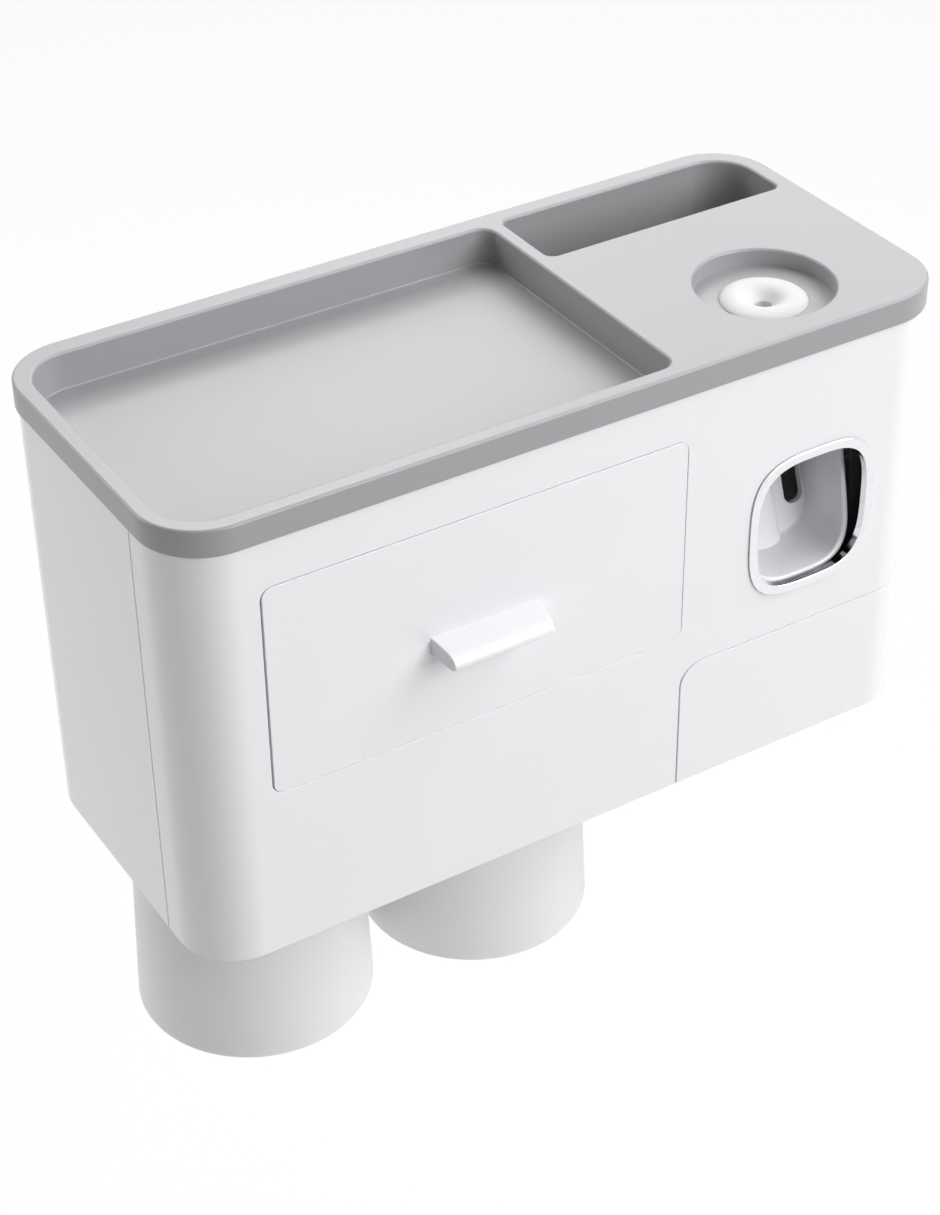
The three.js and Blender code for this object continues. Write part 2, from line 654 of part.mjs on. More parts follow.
function topTray() {
  const left = -WIDTH / 2;
  const right = WIDTH / 2;
  const deckLow = TRAY_TOP - DECK;
  const bandThick = OVERHANG + WALL - SKIRT_THICK / 2;
  let body = cut(
    upright(casePlan(-OVERHANG), CASE_HEIGHT, TRAY_TOP),
    upright(casePlan(bandThick - OVERHANG), CASE_HEIGHT - OVER, deckLow),
  );

  const inside = upright(casePlan(WALL + GAP), 0, deckLow + ROOT);
  const skirtLow = CASE_HEIGHT - SKIRT_DEPTH;
  const skirt = cut(inside, upright(casePlan(WALL + GAP + SKIRT_THICK), -OVER, TRAY_TOP));
  body = join(body, skirt.intersect(box(left, right, TRAY_FRONT, TRAY_BACK, skirtLow, TRAY_TOP)));

  const panLeft = left + RIM;
  const panRight = PARTITION_X + GAP;
  const panFloor = TRAY_TOP - PAN_DEPTH;
  const panFront = TRAY_FRONT + RIM + GAP;
  const panBack = TRAY_BACK - PAN_BACK_RIM;
  const panLow = panFloor - DECK;
  const panBlock = box(left, panRight + DECK, TRAY_FRONT, TRAY_BACK, panLow, TRAY_TOP);
  body = join(body, inside.intersect(panBlock));

  const slotLeft = panRight + DIVIDER;
  const slotRight = WIDTH / 2 - SLOT_RIM;
  const slotBack = TRAY_BACK - RIM - OVERHANG - GAP;
  const slotFront = slotBack - SLOT_DEPTH;
  const slotFloor = TRAY_TOP - SLOT_DROP;
  const pocketPlan = (grow) => roundRect(
    slotLeft - grow,
    slotRight + grow,
    slotFront - grow,
    slotBack + grow,
    [SLOT_CORNER + grow, SLOT_CORNER + grow, SLOT_BACK_CORNER + grow, SLOT_CORNER + grow],
  );
  body = join(body, upright(pocketPlan(SLOT_WALL), slotFloor - SLOT_WALL, deckLow + ROOT));
  body = join(body, post(INLET_RADIUS + INLET_WALL, PUMP_X, PUMP_Y, SEAL_TOP + GAP, deckLow + ROOT, MOST));

  const panCorners = [PAN_CORNER, PAN_INNER_CORNER, PAN_INNER_CORNER, PAN_CORNER];
  const panPlan = roundRect(panLeft, panRight, panFront, panBack, panCorners);
  return cut(
    body,
    upright(panPlan, panFloor, TRAY_TOP + OVER),
    upright(pocketPlan(0), slotFloor, TRAY_TOP + OVER),
    post(INLET_RADIUS, PUMP_X, PUMP_Y, SEAL_TOP, TRAY_TOP + OVER, MOST),
  );
}

// Drawer: a box moulded with its front panel, and a clipped-in eyebrow handle

const pegPlaces = [DRAWER_X - PEG_SPREAD / 2, DRAWER_X + PEG_SPREAD / 2];
const PEG_Z = HANDLE_TOP - HANDLE_SKIN / 2;

function drawerBox() {
  const left = DRAWER_LEFT + DRAWER_SKIN;
  const right = PARTITION_X - DRAWER_SKIN;
  const back = FRONT + DRAWER_LENGTH;
  const top = BOX_LOW + DRAWER_SIDE;
  const panel = frontal(drawerOutline(0), FRONT, INNER_FRONT);
  const tub = box(left, right, INNER_FRONT - ROOT, back, BOX_LOW, top);
  const inside = box(
    left + DRAWER_SKIN,
    right - DRAWER_SKIN,
    INNER_FRONT,
    back - DRAWER_SKIN,
    BOX_LOW + DRAWER_SKIN,
    top + OVER,
  );
  const stopFront = INNER_FRONT + DRAWER_TRAVEL + ROOT;
  const stopTop = DRAWER_HIGH + STOP_RISE;
  const stops = [left, right - DRAWER_SKIN].map((x) => box(
    x,
    x + DRAWER_SKIN,
    stopFront,
    stopFront + RUNNER_WIDTH,
    top - ROOT,
    stopTop,
  ));
  const hole = (x) => throughRod(PEG_RADIUS + GAP, x, FRONT - OVER, INNER_FRONT + OVER, PEG_Z, FEW);
  return cut(join(panel, cut(tub, inside), ...stops), ...pegPlaces.map(hole));
}

function drawerHandle() {
  const root = FRONT - GAP;
  const tip = FRONT - HANDLE_REACH;
  const nose = tip + HANDLE_NOSE;
  const low = HANDLE_TOP - HANDLE_HEIGHT;
  const brow = HANDLE_TOP - HANDLE_FALL;
  const profile = new THREE.Shape();
  profile.moveTo(root, HANDLE_TOP);
  profile.lineTo(root, low);
  profile.lineTo(nose, low);
  profile.lineTo(tip, low + HANDLE_NOSE / 2);
  profile.quadraticCurveTo(tip, brow - HANDLE_FALL / 2, nose, brow);
  profile.quadraticCurveTo((nose + root) / 2, HANDLE_TOP, root, HANDLE_TOP);
  const sweep = HANDLE_WIDTH / 2;
  const end = HANDLE_TIP_WIDTH / 2;
  const plan = new THREE.Shape();
  plan.moveTo(DRAWER_X - sweep, root);
  plan.lineTo(DRAWER_X - end, tip);
  plan.lineTo(DRAWER_X + end, tip);
  plan.lineTo(DRAWER_X + sweep, root);
  const bar = lateral(profile, DRAWER_X - sweep, DRAWER_X + sweep).intersect(upright(plan, 0, TRAY_TOP));
  const half = end - HANDLE_CHEEK;
  const roof = HANDLE_TOP - HANDLE_SKIN;
  const fingers = box(DRAWER_X - half, DRAWER_X + half, nose, root + OVER, low - OVER, roof);
  const pegs = pegPlaces.map((x) => throughRod(PEG_RADIUS, x, root - ROOT, INNER_FRONT, PEG_Z, FEW));
  return join(cut(bar, fingers), ...pegs);
}

// Dispenser: bright ring, frame behind the window, scoop lever and its pin

function dispenserBezel() {
  const back = FRONT + SPIGOT_DEPTH;
  const faceBack = FRONT - GAP;
  const face = frontal(windowOutline(BEZEL_FACE), faceBack - BEZEL_THICK, faceBack);
  const spigot = frontal(windowOutline(SPIGOT_THICK), faceBack - ROOT, back);
  return cut(join(face, spigot), frontal(windowOutline(0), FRONT - WALL, back + OVER));
}

function dispenserFrame() {
  const middled = (across, low, high) => roundRect(
    PUMP_X - across / 2,
    PUMP_X + across / 2,
    low,
    high,
    FRAME_MARGIN,
  );
  const width = BOSS_SPREAD + FRAME_SIDE * 2;
  const outline = middled(width, BOSS_LOW - FRAME_MARGIN, BOSS_HIGH + FRAME_MARGIN);
  const mouthLow = PIVOT_Z - SCOOP_DROP - SCOOP_HEIGHT / 2 - MOUTH_CLEAR;
  const mouth = middled(SCOOP_WIDTH + MOUTH_CLEAR * 2, mouthLow, PIVOT_Z - GAP);
  const front = FRAME_FRONT - OVER;
  const plate = cut(
    frontal(outline, FRAME_FRONT, FRAME_BACK),
    frontal(mouth, front, FRAME_BACK + OVER),
    ...bossPlaces.map(([x, z]) => throughRod(SCREW_RADIUS + GAP, x, front, FRAME_BACK + OVER, z, FEW)),
  );
  const back = FRAME_BACK + CRADLE_LENGTH;
  const outer = CHEEK_INNER + CHEEK_THICK;
  const cheekLow = PIVOT_Z - BARREL_RADIUS * 2;
  const cheeks = [[-outer, -CHEEK_INNER], [CHEEK_INNER, outer]].map(([x0, x1]) => cut(
    box(PUMP_X + x0, PUMP_X + x1, FRAME_BACK - ROOT, back, cheekLow, CRADLE_Z + ROOT),
    crossRod(PIVOT_RADIUS + GAP, PUMP_X + x0 - OVER, PUMP_X + x1 + OVER, PIVOT_Y, PIVOT_Z, SOME),
  ));
  const cradle = cut(
    box(PUMP_X - outer, PUMP_X + outer, FRAME_BACK - ROOT, back, CRADLE_Z, CRADLE_Z + CRADLE_THICK),
    post(PUMP_RADIUS + GAP, PUMP_X, PUMP_Y, CRADLE_Z - OVER, CRADLE_Z + CRADLE_THICK + OVER, MANY),
  );
  return join(plate, ...cheeks, cradle);
}

// One ring of the scoop, in the lever's own frame: drawn in from the rim and set back by a share of
// the depth, which grows upwards
function scoopRing(inset, share, extra = 0) {
  const halfHeight = SCOOP_HEIGHT / 2;
  return squircle(SCOOP_WIDTH / 2 - inset, halfHeight - inset, MANY).map((point) => {
    const depth = SCOOP_DEPTH + (point.y + halfHeight) * Math.tan(SCOOP_SLOPE);
    return new THREE.Vector3(point.x, -SCOOP_SET + share * depth + extra, point.y - SCOOP_DROP);
  });
}

function scoopBowl() {
  const inner = SCOOP_FLOW.map(([inset, share]) => scoopRing(inset + SCOOP_SKIN, share));
  const outer = SCOOP_FLOW.map(([inset, share]) => scoopRing(inset, share, SCOOP_SKIN * share));
  return loft([...outer.reverse(), ...inner]);
}

function dispenserLever() {
  const halfWidth = SCOOP_WIDTH / 2;
  const inner = halfWidth - SCOOP_ARM - GAP;
  const deep = SCOOP_HEIGHT;
  const top = box(-inner, inner, -deep, deep, -SCOOP_MOUTH, deep);
  const slots = [-SCOOP_SLOT_X, SCOOP_SLOT_X].map((x) => frontal(
    roundRect(x - SCOOP_SLOT / 2, x + SCOOP_SLOT / 2, -SCOOP_SLOT_LOW, deep, SCOOP_SLOT / 2 - GAP),
    SCOOP_DEPTH / 2,
    deep,
  ));
  const backWall = SCOOP_DEPTH - SCOOP_SET + (SCOOP_HEIGHT / 2) * Math.tan(SCOOP_SLOPE);
  const rib = new THREE.CylinderGeometry(RIB_DEPTH, RIB_DEPTH, SCOOP_HEIGHT - SCOOP_SKIN * 3, SOME);
  rib.scale(RIB_WIDTH / RIB_DEPTH / 2, 1, 1);
  rib.rotateX(Math.PI / 2 - SCOOP_SLOPE).translate(0, backWall, -SCOOP_DROP);
  let body = cut(join(scoopBowl(), solid(rib)), top, ...slots);

  // Side arms from the scoop up to the barrel on the pivot
  const arm = new THREE.Shape();
  arm.moveTo(-SCOOP_SET, -SCOOP_DROP);
  arm.lineTo(backWall, -SCOOP_DROP);
  arm.lineTo(BARREL_RADIUS, 0);
  arm.lineTo(-BARREL_RADIUS, 0);
  body = join(
    body,
    lateral(arm, -halfWidth, -halfWidth + SCOOP_ARM),
    lateral(arm, halfWidth - SCOOP_ARM, halfWidth),
    crossRod(BARREL_RADIUS, -BARREL_LENGTH / 2, BARREL_LENGTH / 2, 0, 0),
  );

  // Fork under the piston's foot, level when the scoop is half way through its travel
  for (const x of [-FORK_GAP / 2 - FORK_WIDTH, FORK_GAP / 2]) {
    const tine = new THREE.BoxGeometry(FORK_WIDTH, FORK_REACH, FORK_RADIUS);
    tine.translate(0, FORK_REACH / 2, -FORK_RADIUS / 2);
    const knob = new THREE.CylinderGeometry(FORK_RADIUS, FORK_RADIUS, FORK_WIDTH, FEW);
    knob.rotateZ(Math.PI / 2).translate(0, FORK_REACH, 0);
    for (const part of [tine, knob]) {
      body = join(body, solid(part.rotateX(LEVER_TILT / 2).translate(x + FORK_WIDTH / 2, 0, 0)));
    }
  }
  return cut(body, crossRod(PIVOT_RADIUS + GAP, -SCOOP_WIDTH, SCOOP_WIDTH, 0, 0, SOME));
}

function leverPieces() {
  const half = CHEEK_INNER + CHEEK_THICK;
  const lever = new THREE.Group();
  lever.position.set(PUMP_X, PIVOT_Y, PIVOT_Z);
  lever.rotation.x = -LEVER_TILT;
  lever.add(piece('dispenser_lever', dispenserLever(), WHITE));
  const pin = crossRod(PIVOT_RADIUS, PUMP_X - half, PUMP_X + half, PIVOT_Y, PIVOT_Z, SOME);
  return [lever, piece('lever_pivot_pin', pin, STEEL)];
}

// Pump: cylinder under the inlet, piston with ring, valves, nozzle, spring and the silicone seal

function pumpCylinder() {
  const shoulderLow = CRADLE_Z + CRADLE_THICK + GAP;
  const shoulderHigh = shoulderLow + PUMP_SHOULDER;
  const headLow = ROOF_LOW;
  const body = turned([
    [VALVE_STEM + GAP, ROOF_LOW],
    [BORE_RADIUS, ROOF_LOW],
    [BORE_RADIUS, CRADLE_Z],
    [PUMP_RADIUS, CRADLE_Z],
    [PUMP_RADIUS, shoulderLow],
    [PUMP_FLANGE, shoulderLow],
    [PUMP_FLANGE, shoulderHigh],
    [PUMP_RADIUS, shoulderHigh],
    [PUMP_RADIUS, headLow],
    [PUMP_HEAD, headLow],
    [PUMP_HEAD, PUMP_TOP],
    [VALVE_STEM + GAP, PUMP_TOP],
    [VALVE_STEM + GAP, ROOF_LOW],
  ], PUMP_X, PUMP_Y, MANY);
  const orbit = (VALVE_STEM + VALVE_RADIUS) / 2;
  const ports = [0, 1, 2, 3].map((i) => {
    const turn = (i * Math.PI) / 2;
    const x = PUMP_X + orbit * Math.cos(turn);
    const y = PUMP_Y + orbit * Math.sin(turn);
    return post(DUCT_RADIUS - GAP, x, y, ROOF_LOW - OVER, PUMP_TOP + OVER, FEW);
  });
  return cut(body, ...ports);
}

function pumpPiston() {
  const headRadius = BORE_RADIUS - GAP * 2;
  const grooveRadius = BORE_RADIUS - GAP * 2 - RING_THICK;
  const grooveLow = PISTON_LOW + (PISTON_HEIGHT - RING_HEIGHT) / 2 - GAP;
  const grooveHigh = grooveLow + RING_HEIGHT + GAP * 2;
  return turnedRing([
    [DUCT_RADIUS, FOOT_LOW - TAIL_LENGTH],
    [TAIL_RADIUS, FOOT_LOW - TAIL_LENGTH],
    [TAIL_RADIUS, FOOT_LOW],
    [FOOT_RADIUS, FOOT_LOW],
    [FOOT_RADIUS, FOOT_LOW + FOOT_THICK],
    [ROD_RADIUS, FOOT_LOW + FOOT_THICK],
    [ROD_RADIUS, PISTON_LOW],
    [headRadius, PISTON_LOW],
    [headRadius, grooveLow],
    [grooveRadius, grooveLow],
    [grooveRadius, grooveHigh],
    [headRadius, grooveHigh],
    [headRadius, PISTON_TOP],
    [DUCT_RADIUS, PISTON_TOP],
  ], PUMP_X, PUMP_Y, SOME);
}

function pistonRing() {
  const low = PISTON_LOW + (PISTON_HEIGHT - RING_HEIGHT) / 2;
  const outer = BORE_RADIUS - GAP;
  const inner = outer - RING_THICK + GAP / 2;
  const high = low + RING_HEIGHT;
  return turnedRing([[inner, low], [outer, low], [outer, high], [inner, high]], PUMP_X, PUMP_Y, SOME);
}

function outletNozzle() {
  const high = FOOT_LOW - GAP;
  const low = NOZZLE_Z - NOZZLE_RADIUS;
  const mouthY = PUMP_Y - NOZZLE_REACH;
  const bore = DUCT_RADIUS - GAP;
  const outside = join(
    post(NOZZLE_SOCKET, PUMP_X, PUMP_Y, low, high),
    throughRod(NOZZLE_RADIUS, PUMP_X, mouthY, PUMP_Y, NOZZLE_Z),
    solid(new THREE.SphereGeometry(NOZZLE_RADIUS, SOME, FEW).translate(PUMP_X, mouthY, NOZZLE_Z)),
    post(NOZZLE_RADIUS, PUMP_X, mouthY, NOZZLE_Z - NOZZLE_TIP, NOZZLE_Z, SOME),
  );
  const socketFloor = FOOT_LOW - TAIL_LENGTH - TAIL_RADIUS;
  return cut(
    outside,
    post(TAIL_RADIUS + GAP, PUMP_X, PUMP_Y, socketFloor, high + OVER),
    post(bore, PUMP_X, PUMP_Y, NOZZLE_Z - bore, high, FEW),
    throughRod(bore, PUMP_X, mouthY, PUMP_Y, NOZZLE_Z, FEW),
    post(bore, PUMP_X, mouthY, NOZZLE_Z - NOZZLE_TIP - OVER, NOZZLE_Z, FEW),
  );
}

function outletValve() {
  const high = FOOT_LOW - TAIL_LENGTH - GAP;
  const low = FOOT_LOW - TAIL_LENGTH - TAIL_RADIUS + GAP;
  return turned([
    [0, low],
    [DUCT_RADIUS / 2, low],
    [TAIL_RADIUS, low + GAP * 2],
    [TAIL_RADIUS, high],
    [0, high],
  ], PUMP_X, PUMP_Y, SOME);
}

function inletValve() {
  const high = ROOF_LOW - GAP;
  const capLow = PUMP_TOP + GAP;
  const capHigh = capLow + VALVE_STEM;
  return turned([
    [0, high - DUCT_RADIUS],
    [VALVE_RADIUS - VALVE_STEM, high - DUCT_RADIUS],
    [VALVE_RADIUS, high - GAP],
    [VALVE_RADIUS, high],
    [VALVE_STEM, high],
    [VALVE_STEM, capLow],
    [VALVE_STEM + GAP * 2, capLow],
    [VALVE_STEM / 2, capHigh],
    [0, capHigh],
  ], PUMP_X, PUMP_Y, SOME);
}

function inletSeal() {
  const bore = VALVE_STEM + GAP * 4;
  const crown = SEAL_TOP + SEAL_DOME;
  const crest = (SEAL_DOME_RADIUS + SEAL_FUNNEL) / 2;
  return turnedRing([
    [bore, SEAL_LOW],
    [SEAL_RADIUS, SEAL_LOW],
    [SEAL_RADIUS, SEAL_TOP],
    [SEAL_DOME_RADIUS + SEAL_DOME / 3, SEAL_TOP],
    [SEAL_DOME_RADIUS, SEAL_TOP + SEAL_DOME / 3],
    [crest + SEAL_DOME, crown - SEAL_DOME / 9],
    [crest, crown],
    [SEAL_FUNNEL + SEAL_DOME / 2, crown - SEAL_DOME / 3],
    [SEAL_FUNNEL, SEAL_TOP],
    [bore, SEAL_TOP - SEAL_DOME],
  ], PUMP_X, PUMP_Y, MOST);
}

function returnSpring() {
  const steps = SPRING_STEPS;
  const sides = SPRING_SIDES;
  const low = PISTON_TOP + GAP + SPRING_WIRE / 2;
  const rise = ROOF_LOW - GAP - SPRING_WIRE / 2 - low;
  const rings = [];
  for (let k = 0; k <= SPRING_TURNS * steps; k++) {
    const turn = (k / steps) * Math.PI * 2;
    const height = low + (rise * k) / (SPRING_TURNS * steps);
    const ring = [];
    for (let i = 0; i < sides; i++) {
      const around = (i / sides) * Math.PI * 2;
      const radius = SPRING_RADIUS + (SPRING_WIRE / 2) * Math.cos(around);
      const z = height + (SPRING_WIRE / 2) * Math.sin(around);
      ring.push(new THREE.Vector3(PUMP_X + radius * Math.cos(turn), PUMP_Y + radius * Math.sin(turn), z));
    }
    rings.push(ring);
  }
  console.log('return spring, least gap between curls:', leastGap(rings, steps).toFixed(2), 'mm');
  return loft(rings.map((ring) => ring.reverse()));
}

// Smallest distance between the points of one curl and the next
function leastGap(rings, steps) {
  let least = Infinity;
  for (let k = 0; k + steps < rings.length; k++) {
    for (const a of rings[k]) {
      for (const b of rings[k + steps]) {
        least = Math.min(least, a.distanceTo(b));
      }
    }
  }
  return least;
}

function pumpPieces() {
  return [
    piece('pump_cylinder', pumpCylinder(), INNER_WHITE),
    piece('pump_piston', pumpPiston(), INNER_WHITE),
    piece('piston_ring', pistonRing(), SILICONE),
    piece('outlet_nozzle', outletNozzle(), WHITE),
    piece('outlet_valve', outletValve(), SILICONE),
    piece('inlet_valve', inletValve(), SILICONE),
    piece('inlet_seal', inletSeal(), SILICONE),
    piece('return_spring', returnSpring(), STEEL),
  ];
}

// Brush bay: a door that wraps round the right corner, its pin and the slotted rack

function brushDoor() {
  const high = DOOR_HEIGHT + OVER;
  const shell = cut(upright(casePlan(0), 0, DOOR_HEIGHT), upright(casePlan(WALL), -OVER, high));
  const panel = shell.intersect(frontal(doorOutline(0), FRONT - OVER, HINGE_Y));
  const tube = post(KNUCKLE_RADIUS, HINGE_X, HINGE_Y, 0, DOOR_HEIGHT, FEW);
  const clear = KNUCKLE_RADIUS + KNUCKLE_GAP;
  const notches = [KNUCKLE_LOW, KNUCKLE_HIGH].map((low) => box(
    HINGE_X - clear,
    SIDE + OVER,
    HINGE_Y - clear,
    SEAM,
    low - KNUCKLE_GAP,
    low + KNUCKLE_LENGTH + KNUCKLE_GAP,
  ));
  const eye = post(HINGE_PIN + GAP, HINGE_X, HINGE_Y, -OVER, HINGE_PIN_TOP + GAP, FEW);
  return cut(join(panel, tube), ...notches, eye);
}

function doorPin() {
  return post(HINGE_PIN, HINGE_X, HINGE_Y, KNUCKLE_GAP, HINGE_PIN_TOP, FEW);
}

function brushRack() {
  const front = FRONT + RACK_FRONT;
  const seat = front + BRUSH_REACH;
  const back = INNER_BACK - GAP * 4;
  const top = RACK_Z + RACK_THICK;
  const corner = upright(casePlan(WALL + GAP * 3), RACK_Z, top + RACK_RIB);
  const plate = box(RACK_LEFT, RACK_RIGHT, front, back, RACK_Z, top);
  const rib = box(RACK_LEFT, RACK_RIGHT, back - RACK_THICK, back, RACK_Z, top + RACK_RIB);
  const middle = (RACK_LEFT + RACK_RIGHT) / 2;
  const slots = [];
  for (let i = 0; i < BRUSH_COUNT; i++) {
    const x = middle + (i - (BRUSH_COUNT - 1) / 2) * BRUSH_PITCH;
    const left = x - BRUSH_SLOT / 2;
    slots.push(box(left, left + BRUSH_SLOT, front - OVER, seat, RACK_Z - OVER, top + OVER));
    slots.push(post(BRUSH_SEAT, x, seat, RACK_Z - OVER, top + OVER));
  }
  return cut(join(plate, rib).intersect(corner), ...slots);
}

function brushPieces() {
  return [
    piece('brush_door', brushDoor(), WHITE),
    piece('door_hinge_pin', doorPin(), STEEL),
    piece('brush_rack', brushRack(), INNER_WHITE),
  ];
}

// Cups: tapered tumblers hung mouth down, each with a magnet under a cap in its base

function cup(x) {
  const low = CUP_BASE_Z - CUP_HEIGHT;
  const pocket = CUP_BASE_Z - CAP_THICK - MAGNET_THICK - GAP * 2;
  const bead = CUP_SKIN / 2;
  return turned([
    [0, pocket - CUP_SKIN],
    [CUP_BASE - CUP_SKIN - CUP_EDGE, pocket - CUP_SKIN],
    [CUP_BASE - CUP_SKIN, pocket - CUP_SKIN - CUP_EDGE],
    [CUP_MOUTH - CUP_SKIN, low + bead],
    [CUP_MOUTH - bead, low],
    [CUP_MOUTH, low + bead],
    [CUP_BASE, CUP_BASE_Z - CUP_EDGE],
    [CUP_BASE - CUP_EDGE / 3, CUP_BASE_Z - CUP_EDGE / 3],
    [CUP_BASE - CUP_EDGE, CUP_BASE_Z],
    [MAGNET_RADIUS + GAP, CUP_BASE_Z],
    [MAGNET_RADIUS + GAP, pocket],
    [0, pocket],
  ], x, CUP_Y, MOST);
}

function cupPieces() {
  const magnetTop = CUP_BASE_Z - CAP_THICK - GAP;
  const holderTop = SHELF_HEIGHT - GAP * 3;
  const disc = (x, top, thick) => post(MAGNET_RADIUS, x, CUP_Y, top - thick, top, MANY);
  return cupPlaces.flatMap(([side, x]) => [
    piece(`cup_${side}`, cup(x), CUP_WHITE),
    piece(`cup_magnet_${side}`, disc(x, magnetTop, MAGNET_THICK), MAGNET),
    piece(`cup_cap_${side}`, disc(x, CUP_BASE_Z, CAP_THICK), CUP_WHITE),
    piece(`holder_magnet_${side}`, disc(x, holderTop, MAGNET_THICK), MAGNET),
  ]);
}

// Screws: head first along +Z, then turned and placed

function screw() {
  return new THREE.LatheGeometry([
    new THREE.Vector2(0, -SCREW_HEAD_THICK),
    new THREE.Vector2(SCREW_HEAD - SCREW_RADIUS / 2, -SCREW_HEAD_THICK),
    new THREE.Vector2(SCREW_HEAD, -SCREW_HEAD_THICK / 2),
    new THREE.Vector2(SCREW_HEAD, 0),
    new THREE.Vector2(SCREW_RADIUS, 0),
    new THREE.Vector2(SCREW_RADIUS, SCREW_LENGTH - SCREW_RADIUS),
    new THREE.Vector2(0, SCREW_LENGTH),
  ], FEW);
}

function screwPieces() {
  const seats = bossPlaces.map(([x, z], i) => {
    const body = solid(screw().rotateX(Math.PI).translate(x, FRAME_BACK + GAP, z));
    return piece(`frame_screw_${i + 1}`, body, STEEL);
  });
  const sides = [['left', -COVER_SCREW_X], ['right', COVER_SCREW_X]];
  return seats.concat(sides.map(([side, x]) => {
    const body = screw().rotateX(Math.PI / 2).translate(x, FRONT + COVER_SCREW_BACK, SHELF_HEIGHT - GAP);
    return piece(`cover_screw_${side}`, solid(body), STEEL);
  }));
}

// Assembly

const holder = new THREE.Group();
holder.add(
  ...wallPieces(),
  piece('rear_housing', rearHousing(), WHITE),
  piece('front_cover', frontCover(), WHITE),
  piece('top_tray', topTray(), GREY),
  piece('drawer_box', drawerBox(), WHITE),
  piece('drawer_handle', drawerHandle(), WHITE),
  piece('dispenser_bezel', dispenserBezel(), BRIGHT),
  piece('dispenser_frame', dispenserFrame(), CHARCOAL),
  ...leverPieces(),
  ...pumpPieces(),
  ...brushPieces(),
  ...cupPieces(),
  ...screwPieces(),
);
holder.position.z = -PLATE_Z;

export default holder;
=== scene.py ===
"""Studio model of a wall-hung toothbrush holder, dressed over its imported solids.

Lengths in the modelling functions are millimetres in the part's own frame: the origin is the middle of
the pad on the wall, +Z is up and the front faces -Y.
"""

import json
import math

import bmesh
import bpy
from bpy.props import FloatProperty, FloatVectorProperty, PointerProperty
from mathutils import Euler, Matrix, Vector

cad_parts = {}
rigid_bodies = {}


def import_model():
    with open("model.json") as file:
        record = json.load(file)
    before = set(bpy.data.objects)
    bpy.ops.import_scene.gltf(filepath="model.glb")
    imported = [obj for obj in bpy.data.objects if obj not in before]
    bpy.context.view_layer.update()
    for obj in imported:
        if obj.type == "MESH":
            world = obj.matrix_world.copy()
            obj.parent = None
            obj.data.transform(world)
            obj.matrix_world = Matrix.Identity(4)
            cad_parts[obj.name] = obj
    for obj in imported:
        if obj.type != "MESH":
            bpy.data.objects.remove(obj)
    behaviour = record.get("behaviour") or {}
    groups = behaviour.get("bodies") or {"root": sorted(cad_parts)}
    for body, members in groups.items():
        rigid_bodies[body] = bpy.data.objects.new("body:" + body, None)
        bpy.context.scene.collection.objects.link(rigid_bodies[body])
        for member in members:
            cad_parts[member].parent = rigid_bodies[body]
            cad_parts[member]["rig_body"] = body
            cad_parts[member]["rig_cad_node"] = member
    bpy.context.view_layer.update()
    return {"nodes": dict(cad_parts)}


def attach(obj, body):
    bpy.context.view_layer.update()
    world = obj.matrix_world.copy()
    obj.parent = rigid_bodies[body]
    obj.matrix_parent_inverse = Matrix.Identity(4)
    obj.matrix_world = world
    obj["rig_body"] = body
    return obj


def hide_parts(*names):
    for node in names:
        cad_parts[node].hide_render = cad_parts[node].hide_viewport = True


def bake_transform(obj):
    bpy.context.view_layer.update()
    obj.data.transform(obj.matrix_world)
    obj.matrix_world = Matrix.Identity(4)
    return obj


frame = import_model()

bl_info = {
    "name": "Toothbrush holder",
    "version": (1, 0, 0),
    "blender": (4, 5, 0),
    "location": "View3D > Sidebar > Holder",
    "description": "Models a wall-hung toothbrush holder, its finishes and a small studio",
    "category": "Object",
}

MM = 0.001

# Axes, and turns in degrees that lay a rod along one
X, Y, Z = 0, 1, 2
ALONG_X = (0.0, 90.0, 0.0)
ALONG_Y = (90.0, 0.0, 0.0)

# Steps round a full turn
ROUND = 96
SMALL_ROUND = 32

# An edge found by its place may be this far off, and points this close are one
SLACK = 0.02
SKIN_SLACK = 0.05
MERGE = 0.002

# Share of an edge's length that runs along an axis, where it is straight
STRAIGHT = 0.999

# Angles in degrees between faces: joined as flat, shaded as one, sharp, and broken at the edge
FLAT_BELOW = 0.6
SMOOTH_BELOW = 32
SHARP_ABOVE = 35
BROKEN_ABOVE = 40

# Casing
SIDE = 124.0
FRONT = -108.5
SEAM = -83.7
COVER_BACK = -84.0
LOW = -63.0
CASE_TOP = 73.0
WALL = 2.4
CASE_CORNER = 18.0
THROUGH_FRONT = (FRONT - 5, FRONT + 8)
BOSS_SPREAD = 26.8
BOSS_HEIGHTS = (-6.0, 51.0)
TAB_SPREAD = 113.0

# Tray; an inset is measured from its outline
TRAY_SIDE = 125.0
TRAY_FRONT = -109.5
TRAY_BACK = -1.0
TRAY_TOP = 81.5
TRAY_CORNER = 19.0
BAND_LOW = 73.3
BAND_THICK = 2.6
DECK_LOW = 79.3
DECK = 2.2
SKIRT_LOW = 68.3
SKIRT_INSET = 3.7
SKIRT_THICK = 1.6
PAN_FLOOR = 70.0
PAN_INSET = 3.8
PAN_WIDE = (-120.0, 31.5)
PAN_DEEP = (-104.2, -7.8)
PAN_CORNER = 14.0
PAN_INNER_CORNER = 5.0

# Phone pocket
SLOT_WIDE = (36.0, 119.5)
SLOT_DEEP = (-34.3, -7.3)
SLOT_FLOOR = 33.5
SLOT_WALL = 1.8
SLOT_CORNER = 13.0
SLOT_INNER_CORNER = 3.0

# Window, inlet and pump axis; the power is the squareness of the window's outline
PUMP_X = 78.8
PUMP_Y = -80.5
WINDOW_Z = 17.4
WINDOW_POWER = 3.3
RING_ROOM = 1.2
INLET_RADIUS = 20.5
INLET_WALL = 2.0
INLET_FLOOR = 76.0
DOME_HOLE = 13.0

